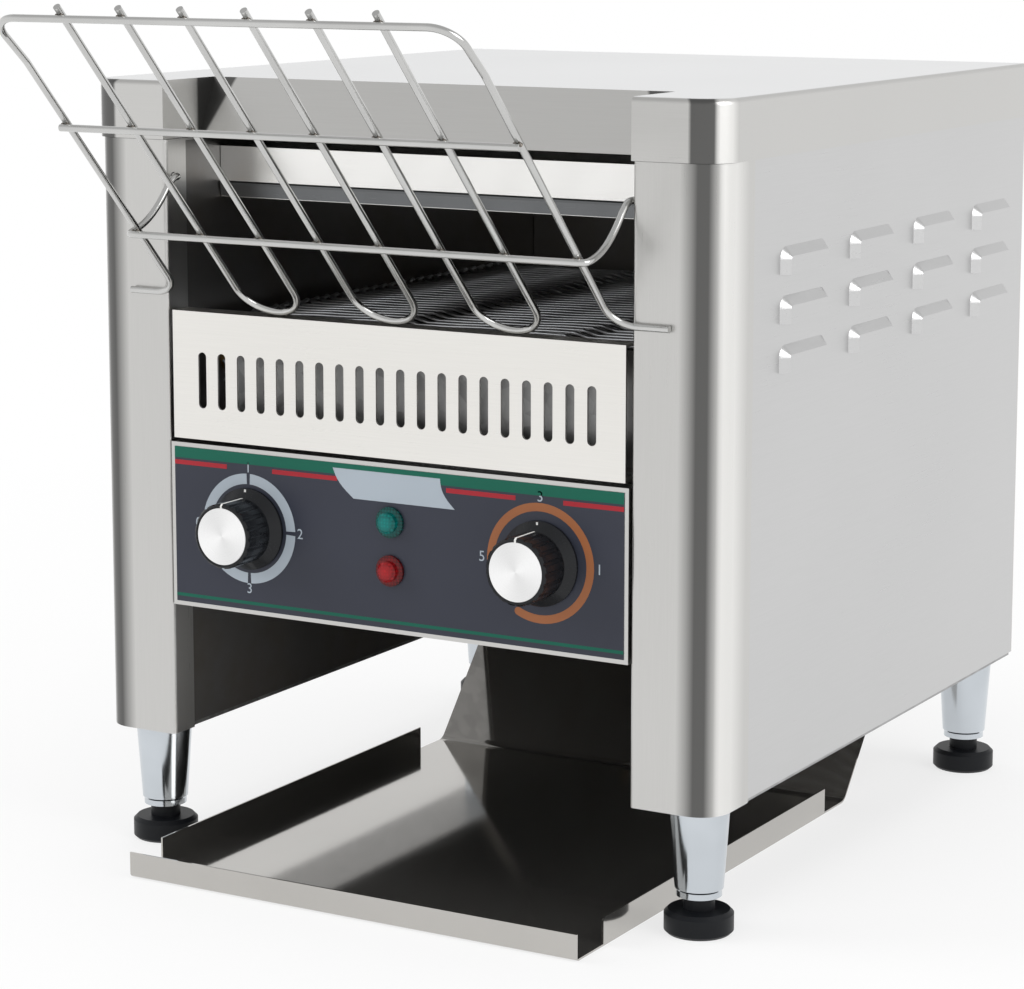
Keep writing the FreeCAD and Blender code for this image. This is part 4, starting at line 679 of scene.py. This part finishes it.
def add_dome(mesh, centre, radius, drop, rings=5, sides=20):
    """A shallow dome that hangs down from a flat face."""
    rows = []
    for ring in range(rings):
        turn = math.pi / 2 * ring / rings
        reach, depth = radius * math.cos(turn), drop * math.sin(turn)
        rows.append([mesh.verts.new(centre + Vector((reach * math.cos(2 * math.pi * k / sides),
                                                     reach * math.sin(2 * math.pi * k / sides), -depth)))
                     for k in range(sides)])
    tip = mesh.verts.new(centre + Vector((0, 0, -drop)))
    for k in range(sides):
        after = (k + 1) % sides
        for upper, lower in zip(rows, rows[1:]):
            mesh.faces.new((upper[k], lower[k], lower[after], upper[after]))
        mesh.faces.new((rows[-1][k], tip, rows[-1][after]))
    mesh.faces.new(rows[0])


def dress_all(material, *nodes):
    """Gives several frame nodes one finish."""
    for node in nodes:
        dress(node, material)


def dress_slots(finishes):
    """Gives each frame node the finish of its slot, where there is one."""
    for node, slot in SLOT_OF.items():
        if slot in finishes:
            dress(node, finishes[slot])


def on_both_sides(*stems):
    return [f"{side}_{stem}" for side in ("left", "right") for stem in stems]


# Operators

class PieceOperator:
    """What every operator of this add-on shares."""

    bl_options = {"REGISTER", "UNDO"}

    @property
    def settings(self):
        return bpy.context.scene.toaster


class TOASTER_OT_stage(PieceOperator, bpy.types.Operator):
    """Sets up the floor, the white background, the lamps and the camera"""

    bl_idname = "toaster.stage"
    bl_label = "Stage"

    def execute(self, context):
        self.add_floor(self.settings.stage)
        self.set_world(context.scene, self.settings.stage)
        self.add_lamps(self.settings.stage)
        self.add_camera(context.scene, self.settings.camera)
        context.scene.view_settings.view_transform = "Standard"
        return {"FINISHED"}

    def seen_directly(self, graph):
        """One where a ray comes from the camera, a gloss or a glass, and nought elsewhere."""
        path = graph.node("ShaderNodeLightPath", output="Is Camera Ray").socket.node
        camera, glossy, through = (Term(graph, path.outputs[name]) for name in (
            "Is Camera Ray", "Is Glossy Ray", "Is Transmission Ray"))
        return graph.node("ShaderNodeMath", {"operation": "ADD", "use_clamp": True},
                          {0: camera + glossy, 1: through})

    def add_floor(self, stage):
        """A square floor, plain white beyond the object's shadow."""
        mesh = bmesh.new()
        bmesh.ops.create_grid(mesh, x_segments=1, y_segments=1, size=stage.floor_size / 2)
        data = bpy.data.meshes.new("floor")
        mesh.to_mesh(data)
        mesh.free()
        material, graph = new_graph("pale_floor")
        plain = graph.node("ShaderNodeBsdfDiffuse", inputs={"Color": (*stage.floor_colour, 1)})
        white = graph.node("ShaderNodeEmission", inputs={"Color": (1, 1, 1, 1), "Strength": 1.0})
        across, along, _ = graph.axes(graph.place())
        reach = graph.reach(across, along)
        far = graph.ramp((reach - stage.near) / (stage.far - stage.near), (0.0, 0.0), (1.0, 1.0))
        share_white = far * (1 - stage.floor_white) + stage.floor_white
        graph.finish(graph.node("ShaderNodeMixShader",
                                inputs={0: self.seen_directly(graph) * share_white, 1: plain, 2: white}))
        data.materials.append(material)
        floor = bpy.data.objects.new("floor", data)
        bpy.context.scene.collection.objects.link(floor)

    def set_world(self, scene, stage):
        """A white background, a little darker overhead where metal shows it."""
        scene.world = bpy.data.worlds.new("studio")
        graph = Graph(scene.world)
        soft = graph.node("ShaderNodeBackground", inputs={"Color": (1, 1, 1, 1), "Strength": stage.world})
        _, _, height = graph.axes(graph.place("Generated"))
        tone = graph.ramp(height, (0.10, 1.0), (0.80, stage.zenith))
        white = graph.node("ShaderNodeBackground", inputs={"Color": tone, "Strength": 1.0})
        seen = graph.node("ShaderNodeMixShader", inputs={0: self.seen_directly(graph), 1: soft, 2: white})
        graph.node("ShaderNodeOutputWorld", inputs={"Surface": seen})

    def add_lamps(self, stage):
        """Three large square lamps. Metal shows only the one at the side."""
        for name, power, size, place, shown in (
                ("key_lamp", stage.key, 1.6, Vector((-2.3, -1.1, 1.6)), False),
                ("top_lamp", stage.top, 2.0, Vector((0.0, 0.1, 2.3)), False),
                ("side_lamp", stage.side, 1.6, Vector((2.2, -0.3, 1.4)), True)):
            light = bpy.data.lights.new(name, "AREA")
            light.energy = power
            light.size = size
            lamp = bpy.data.objects.new(name, light)
            lamp.visible_glossy = shown
            lamp.location = place
            aim = HOUSING_MIDDLE - place
            lamp.rotation_euler = aim.to_track_quat("-Z", "Y").to_euler()
            bpy.context.scene.collection.objects.link(lamp)

    def add_camera(self, scene, view):
        """The camera, turned and raised about the point that it looks at."""
        data = bpy.data.cameras.new("camera")
        data.lens = view.lens
        data.sensor_fit = "HORIZONTAL"
        data.shift_y = view.shift_y
        camera = bpy.data.objects.new("camera", data)
        aim = Vector((HOUSING_MIDDLE.x + view.aim_x, HOUSING_MIDDLE.y, view.aim_z))
        away = Vector((math.sin(view.turn) * math.cos(view.rise),
                       -math.cos(view.turn) * math.cos(view.rise), math.sin(view.rise)))
        camera.location = aim + away * view.distance
        camera.rotation_euler = (-away).to_track_quat("-Z", "Y").to_euler()
        scene.collection.objects.link(camera)
        scene.camera = camera


class TOASTER_OT_housing(PieceOperator, bpy.types.Operator):
    """Finishes the posts, side panels, lid, rear panel and slotted front sheet, with light and shade
    painted on the corners, the lid's top and the slotted sheet
    """

    bl_idname = "toaster.housing"
    bl_label = "Housing"

    def execute(self, context):
        sheet = self.settings.sheet
        rough, grain = sheet.brushed_rough, sheet.grain
        # The painted reflection on the posts' and lid's bent corners: where the band painted darker and the
        # stripe painted lighter lie
        post_painted_bend = Bend("right_post", sheet.corner, sheet.bend_painted_shade, (0.16, 0.31, 0.42, 0.56),
                         (0.52, 0.60, 0.76, 0.98))
        lid_painted_bend = Bend("lid", sheet.corner + sheet.overhang, sheet.bend_painted_shade, (0.235, 0.26, 0.46, 0.49),
                        (0.49, 0.52, 0.66, 0.74))
        upright = brushed_sheet("brushed_steel_upright_painted_bend", sheet.steel, rough, grain, "z", painted_bend=post_painted_bend)
        level = brushed_sheet("brushed_steel_level", sheet.side, rough, grain, "y")
        cover = brushed_sheet("brushed_steel_cover_painted_light", sheet.steel, rough, grain, "x", painted_bend=lid_painted_bend,
                              painted_top_light=sheet.top)
        across = brushed_sheet("brushed_steel_across", sheet.steel, rough, grain, "x")
        # Painted light: a lighter copy of the brushed steel for the slotted front sheet
        bright = brushed_sheet("brushed_steel_painted_lit", sheet.bright, rough, grain, "x")
        dress_all(upright, *on_both_sides("post"))
        dress_all(level, *on_both_sides("side_panel"))
        dress_all(across, "rear_panel", "control_panel")
        dress("lid", cover)
        dress("slotted_front_panel", bright)
        self.add_flange_screws(bright_wire("screw_zinc", self.settings.fitting.screw, 0.28))
        return {"FINISHED"}

    def add_flange_screws(self, finish):
        """Three domed screw heads under the control panel's lower flange."""
        fitting = self.settings.fitting
        low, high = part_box("control_panel")
        middle = (low.y + high.y) / 2
        mesh = bmesh.new()
        for x in (fitting.screw_reach * low.x, 0.0, fitting.screw_reach * high.x):
            add_dome(mesh, Vector((x, middle, low.z)), fitting.screw_radius, fitting.screw_drop)
        new_piece("flange_screws", "housing", finish, mesh)


class TOASTER_OT_tunnel(PieceOperator, bpy.types.Operator):
    """Finishes the sheets and elements round the belt, and the pans"""

    bl_idname = "toaster.tunnel"
    bl_label = "Toasting tunnel"

    def execute(self, context):
        sheet = self.settings.sheet
        fitting = self.settings.fitting
        dress_slots({"galvanised_sheet": zinc_sheet("galvanised_sheet", sheet.galvanised),
                     "aluminised_sheet": heated_sheet("aluminised_sheet", sheet.aluminised)})
        dress("upper_reflector", brushed_sheet("reflector_steel", sheet.flange, 0.24, sheet.grain, "x"))
        self.add_hem(sheet)
        dress("heating_elements", bright_wire("element_sheath", fitting.sheath, 0.5))
        dress("element_bushes", moulded("white_ceramic", fitting.ceramic, 0.5))
        return {"FINISHED"}

    def add_hem(self, sheet):
        """The rolled lower edge of the flange over the belt, which faces down and is painted darker than
        the flange as shade.
        """
        low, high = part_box("upper_reflector")
        top, bottom = low.z + sheet.hem_high, low.z + sheet.hem_up
        rows = [(low.y - out * MM, top - down * MM) for out, down in HEM_ROLL]
        rows += [(low.y - sheet.hem_foot, bottom), (low.y, bottom)]
        mesh = bmesh.new()
        ends = [[mesh.verts.new((x, y, z)) for y, z in rows]
                for x in (low.x + sheet.hem_short, high.x - sheet.hem_short)]
        for k in range(len(rows)):
            after = (k + 1) % len(rows)
            mesh.faces.new((ends[0][k], ends[0][after], ends[1][after], ends[1][k]))
        mesh.faces.new(ends[0][::-1])
        mesh.faces.new(ends[1])
        # Painted shade: the rolled edge takes a darker copy of the flange's steel
        new_piece("reflector_hem", "housing",
                  brushed_sheet("hem_painted_shade", sheet.hem, 0.25, sheet.grain, "x"), mesh)


class TOASTER_OT_conveyor(PieceOperator, bpy.types.Operator):
    """Finishes the wire belt, its shafts, sprockets and bushes, and the drive behind the wall"""

    bl_idname = "toaster.conveyor"
    bl_label = "Conveyor and drive"

    def execute(self, context):
        fitting = self.settings.fitting
        belt = bright_wire("belt_wire", self.settings.wire.belt, 0.34)
        dress_slots({
            "belt_wire": belt,
            "machined_steel": bright_wire("machined_steel", fitting.machined, 0.3),
            "chain_steel": bright_wire("chain_steel", fitting.chain, 0.4),
            "bronze": bright_wire("bush_bronze", fitting.bronze, 0.35),
            "motor_case": moulded("motor_paint", fitting.motor, 0.45),
        })
        self.add_round_belt(belt)
        return {"FINISHED"}

    def add_round_belt(self, material):
        """The belt's strands, with their square wires rounded off."""
        mesh = bmesh.new()
        mesh.from_mesh(NODES["wire_belt"].data)
        bmesh.ops.remove_doubles(mesh, verts=mesh.verts, dist=0.01 * MM)
        bmesh.ops.join_triangles(mesh, faces=mesh.faces, angle_face_threshold=math.pi,
                                 angle_shape_threshold=math.pi)
        piece = new_piece("belt_strands", "housing", material, mesh)
        rounding = piece.modifiers.new("rounding", "SUBSURF")
        rounding.levels = 1
        rounding.render_levels = 1
        for face in piece.data.polygons:
            face.use_smooth = True
        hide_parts("wire_belt")


class TOASTER_OT_rack(PieceOperator, bpy.types.Operator):
    """Finishes the sloping wire rack"""

    bl_idname = "toaster.rack"
    bl_label = "Loading rack"

    def execute(self, context):
        rack = self.settings.wire
        wire = bright_wire("rack_wire", rack.rack, 0.16)
        dress_slots({"rack_wire": wire})
        self.add_hook_rod(rack, wire)
        self.add_welds(rack)
        return {"FINISHED"}

    def slope_point(self, rack, x, along, outward):
        """A point of the rack: across, up its slope from the stubs, and out from its plane."""
        low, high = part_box("rack_frame_wire")
        y = high.y - rack.radius - along * math.cos(rack.tilt) - outward * math.sin(rack.tilt)
        z = low.z + rack.radius + along * math.sin(rack.tilt) - outward * math.cos(rack.tilt)
        return Vector((x, y, z))

    def add_hook_rod(self, rack, wire):
        """The lower rod, whose ends sweep back and up into the posts."""
        _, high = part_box("rack_hook_rod")
        rod = self.slope_point(rack, 0, rack.lower_rod, 2 * rack.radius)
        pin_y, pin_z = high.y - rack.radius, high.z - rack.radius
        arm = high.x - rack.pin
        run, rise = pin_y - rod.y, pin_z - rod.z
        sweep = [(arm - rack.straight, rod.y, rod.z), (arm - rack.turn, rod.y, rod.z)]
        sweep += [(arm, rod.y + back * run, rod.z + up * rise) for back, up in ARM_SWEEP]
        sweep += [(arm + rack.turn, pin_y, pin_z), (high.x, pin_y, pin_z)]
        points = [(-x, y, z) for x, y, z in reversed(sweep)] + sweep
        piece = new_piece("hook_rod", "loading_rack", wire, swept_wire(points, rack.radius))
        for face in piece.data.polygons:
            face.use_smooth = True
        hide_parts("rack_hook_rod")

    def add_welds(self, rack):
        """A small bead on either side of every crossing."""
        mesh = bmesh.new()
        wires = [row * rack.loop_pitch + side * rack.loop_half for row in (-1, 0, 1) for side in (-1, 1)]
        crossings = [(x, along) for along in (rack.upper_rod, rack.lower_rod, rack.top_bar) for x in wires]
        crossings += [(side * rack.outer, along) for along in (rack.upper_rod, rack.lower_rod)
                      for side in (-1, 1)]
        for x, along in crossings:
            for side in (-1, 1):
                beside = x + side * rack.radius * 0.8
                start = self.slope_point(rack, beside, along - rack.weld_half, rack.radius)
                end = self.slope_point(rack, beside, along + rack.weld_half, rack.radius)
                add_bead(mesh, start, end, rack.weld)
        scorched = bright_wire("weld_steel", rack.weld_tint, 0.35)
        new_piece("rack_welds", "loading_rack", scorched, mesh)


class TOASTER_OT_controls(PieceOperator, bpy.types.Operator):
    """Prints the control panel's overlay: stripes, tab, dial rings and plain numbers"""

    bl_idname = "toaster.controls"
    bl_label = "Control panel print"

    def execute(self, context):
        ink = self.settings.ink
        dress("control_overlay", printed("overlay_ground", ink.ground))
        self.left, self.right = (self.dial_centre(side) for side in ("left", "right"))
        self.layer("print_green", "overlay_print", printed("green_ink", ink.green), self.stripes(ink))
        self.layer("print_red", "overlay_print", printed("red_ink", ink.red), self.red_line(ink))
        self.layer("print_pale", "overlay_print", printed("pale_ink", ink.pale, 0.3), self.pale_shapes(ink),
                   lift=2)
        self.layer("print_brown", "overlay_print", printed("brown_ink", ink.brown), [self.arc(ink)])
        self.numbers(ink)
        return {"FINISHED"}

    def dial_centre(self, side):
        low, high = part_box(f"{side}_knob_cap")
        return (low + high) / 2

    def layer(self, name, slot, material, outlines, lift=1):
        mesh = bmesh.new()
        thick = self.settings.ink.thick
        for outline in outlines:
            add_prism(mesh, outline, FACE_LOW.y + thick, FACE_LOW.y - thick * lift)
        new_piece(name, "housing", material, mesh)

    def stripes(self, ink):
        """The upper stripe and the thin lower line."""
        left, right = FACE_LOW.x, FACE_HIGH.x
        return [box_outline(left, FACE_HIGH.z - ink.stripe, right, FACE_HIGH.z),
                box_outline(left, FACE_LOW.z + ink.lower_up, right,
                                FACE_LOW.z + ink.lower_up + ink.lower)]

    def red_line(self, ink):
        """The red line, broken over each dial and at the tab."""
        top = FACE_HIGH.z - ink.line_top
        ends = [middle + end * MM for middle, gap in zip((self.left.x, 0.0, self.right.x), LINE_GAPS)
                for end in gap]
        starts = [FACE_LOW.x, *ends[1::2]]
        stops = [*ends[::2], FACE_HIGH.x]
        return [box_outline(low, top - ink.line, high, top) for low, high in zip(starts, stops)]

    def pale_shapes(self, ink):
        """The bare tab and the four parts of the left dial's ring."""
        shares = [step / TAB_STEPS for step in range(TAB_STEPS + 1)]
        right_side, left_side = (
            [((start + lean * k - bow * math.sin(math.pi * k)) * MM,
              FACE_HIGH.z - ink.tab_top - ink.tab_high * k) for k in shares]
            for start, lean, bow in TAB_SIDES)
        outlines = [right_side + left_side[::-1]]
        gap = ink.ring_gap / 2 / ink.ring_outer
        for quarter in range(4):
            start = quarter * math.pi / 2
            outlines.append(sector(self.left, ink.ring_inner, ink.ring_outer, start + gap,
                                   start + math.pi / 2 - gap, RING_STEPS))
        return outlines

    def arc(self, ink):
        """The right dial's arc, from nine o'clock over the top to a rounded end."""
        end = ink.arc_end
        band = sector(self.right, ink.arc_inner, ink.arc_outer, ink.arc_start, end, ARC_STEPS)
        middle = (ink.arc_inner + ink.arc_outer) / 2
        radius = (ink.arc_outer - ink.arc_inner) / 2
        tip = Vector((self.right.x + middle * math.sin(end), 0, self.right.z + middle * math.cos(end)))
        cap = []
        for k in range(1, CAP_STEPS):
            turn = end + math.pi * k / CAP_STEPS
            cap.append((tip.x + radius * math.sin(turn), tip.z + radius * math.cos(turn)))
        return band[:ARC_STEPS + 1] + cap + band[ARC_STEPS + 1:]

    def numbers(self, ink):
        """Plain numbers round both dials."""
        mesh = bmesh.new()
        for centre, ring, marks in ((self.left, ink.ring_outer, LEFT_MARKS),
                                    (self.right, ink.arc_outer, RIGHT_MARKS)):
            for degrees, text in marks:
                turn = math.radians(degrees)
                reach = ring + ink.number * NUMBER_OFFSET
                flat = number_outlines(text, ink.number)
                place = Vector((centre.x + reach * math.sin(turn), FACE_LOW.y - ink.thick,
                                centre.z + reach * math.cos(turn)))
                flat.transform(Matrix.Translation(place) @ Matrix.Rotation(math.pi / 2, 4, "X"))
                mesh.from_mesh(flat)
        paint = printed("number_ink", ink.pale, 0.3)
        new_piece("dial_numbers", "housing", paint, mesh)


class TOASTER_OT_dials(PieceOperator, bpy.types.Operator):
    """Finishes the knobs and their caps, and adds the white pointer lines"""

    bl_idname = "toaster.dials"
    bl_label = "Dials"

    def execute(self, context):
        dial, spindle = self.settings.dial, self.settings.fitting.spindle
        plastic = moulded("knob_plastic", dial.plastic, 0.26, coat=0.12)
        white = printed("pointer_paint", dial.pointer)
        for side, body in (("left", "element_dial"), ("right", "speed_dial")):
            low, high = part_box(f"{side}_knob_cap")
            centre = (low + high) / 2
            dress(f"{side}_knob", plastic)
            dress(f"{side}_knob_cap", spun_cap(f"{side}_spun_cap", dial.cap, centre))
            dress(f"{side}_spindle", bright_wire(f"{side}_spindle_steel", spindle, 0.3))
            self.add_pointer(side, body, centre, white)
        return {"FINISHED"}

    def add_pointer(self, side, body, centre, white):
        """A ribbon from the cap's edge over the rim, down the side and out over the skirt."""
        knob_low, knob_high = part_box(f"{side}_knob")
        cap_low, cap_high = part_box(f"{side}_knob_cap")
        cap_radius = (cap_high.z - cap_low.z) / 2
        skirt = (knob_high.z - knob_low.z) / 2
        dial = self.settings.dial
        rim = skirt - dial.skirt_wide
        front, foot = knob_low.y, knob_high.y - dial.skirt_deep
        up, out = Vector((0, 0, 1)), Vector((0, -1, 0))
        points = [((centre.x, y, centre.z + reach), outward) for y, reach, outward in (
            (front, cap_radius, out), (front, rim - dial.rounding, out),
            (front + dial.rounding, rim, up), (foot - dial.ease, rim, up),
            (foot, rim + 2 * dial.ease, out), (foot + dial.ease, skirt - 1.5 * dial.ease, out))]
        mesh = bmesh.new()
        add_strip(mesh, points, dial.pointer_wide, dial.pointer_proud, Vector((1, 0, 0)))
        new_piece(f"{side}_pointer", body, white, mesh)


class TOASTER_OT_pilot_lamps(PieceOperator, bpy.types.Operator):
    """Finishes the two pilot lamps"""

    bl_idname = "toaster.pilot_lamps"
    bl_label = "Pilot lamps"

    def execute(self, context):
        lamp = self.settings.lamp
        for name, tint in (("green_pilot_lamp", lamp.green), ("red_pilot_lamp", lamp.red)):
            low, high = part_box(name)
            dress(name, lens(f"{name}_lens", tint, lamp.facets, (low + high) / 2))
        return {"FINISHED"}


class TOASTER_OT_tray(PieceOperator, bpy.types.Operator):
    """Finishes the toast tray and the chute behind it"""

    bl_idname = "toaster.tray"
    bl_label = "Tray"

    def execute(self, context):
        sheet = self.settings.sheet
        polished = polished_sheet("polished_steel", sheet.polished, sheet.polished_rough)
        dress_slots({"polished_steel_sheet": polished})
        return {"FINISHED"}


class TOASTER_OT_legs(PieceOperator, bpy.types.Operator):
    """Finishes the chromed legs, their nuts and the rubber feet, and the plastic fittings"""

    bl_idname = "toaster.legs"
    bl_label = "Legs and fittings"

    def execute(self, context):
        fitting = self.settings.fitting
        dress_slots({
            "chrome": bright_wire("leg_chrome", fitting.chrome, 0.14),
            "black_rubber": moulded("foot_rubber", fitting.rubber, 0.42, grain=900.0),
            "black_plastic": moulded("black_plastic", fitting.plastic, 0.4),
            "zinc_screw": bright_wire("zinc_plate", fitting.zinc, 0.3),
        })
        return {"FINISHED"}


STEPS = (TOASTER_OT_stage, TOASTER_OT_housing, TOASTER_OT_tunnel, TOASTER_OT_conveyor, TOASTER_OT_rack,
         TOASTER_OT_controls, TOASTER_OT_tray, TOASTER_OT_legs, TOASTER_OT_dials,
         TOASTER_OT_pilot_lamps)
GROUPS = (CameraSettings, StageSettings, SheetSettings, PrintSettings, DialSettings, LampSettings,
          WireSettings, FittingSettings, ToasterSettings)


class TOASTER_PT_sidebar(bpy.types.Panel):
    """Lists the toaster's steps and their settings"""

    bl_idname = "TOASTER_PT_sidebar"
    bl_label = "Conveyor Toaster"
    bl_space_type = "VIEW_3D"
    bl_region_type = "UI"
    bl_category = "Toaster"

    def draw(self, context):
        for step in STEPS:
            self.layout.operator(step.bl_idname)
        for group in ToasterSettings.__annotations__:
            box = self.layout.box()
            box.label(text=group.capitalize())
            settings = getattr(context.scene.toaster, group)
            for name in type(settings).__annotations__:
                box.prop(settings, name)


def register():
    for part in (*GROUPS, *STEPS, TOASTER_PT_sidebar):
        bpy.utils.register_class(part)
    bpy.types.Scene.toaster = PointerProperty(type=ToasterSettings)


def unregister():
    del bpy.types.Scene.toaster
    for part in reversed((*GROUPS, *STEPS, TOASTER_PT_sidebar)):
        bpy.utils.unregister_class(part)


def main():
    """Runs every step on the frame."""
    register()
    for step in STEPS:
        family, step_name = step.bl_idname.split(".")
        getattr(getattr(bpy.ops, family), step_name)()


if __name__ == "__main__":
    main()
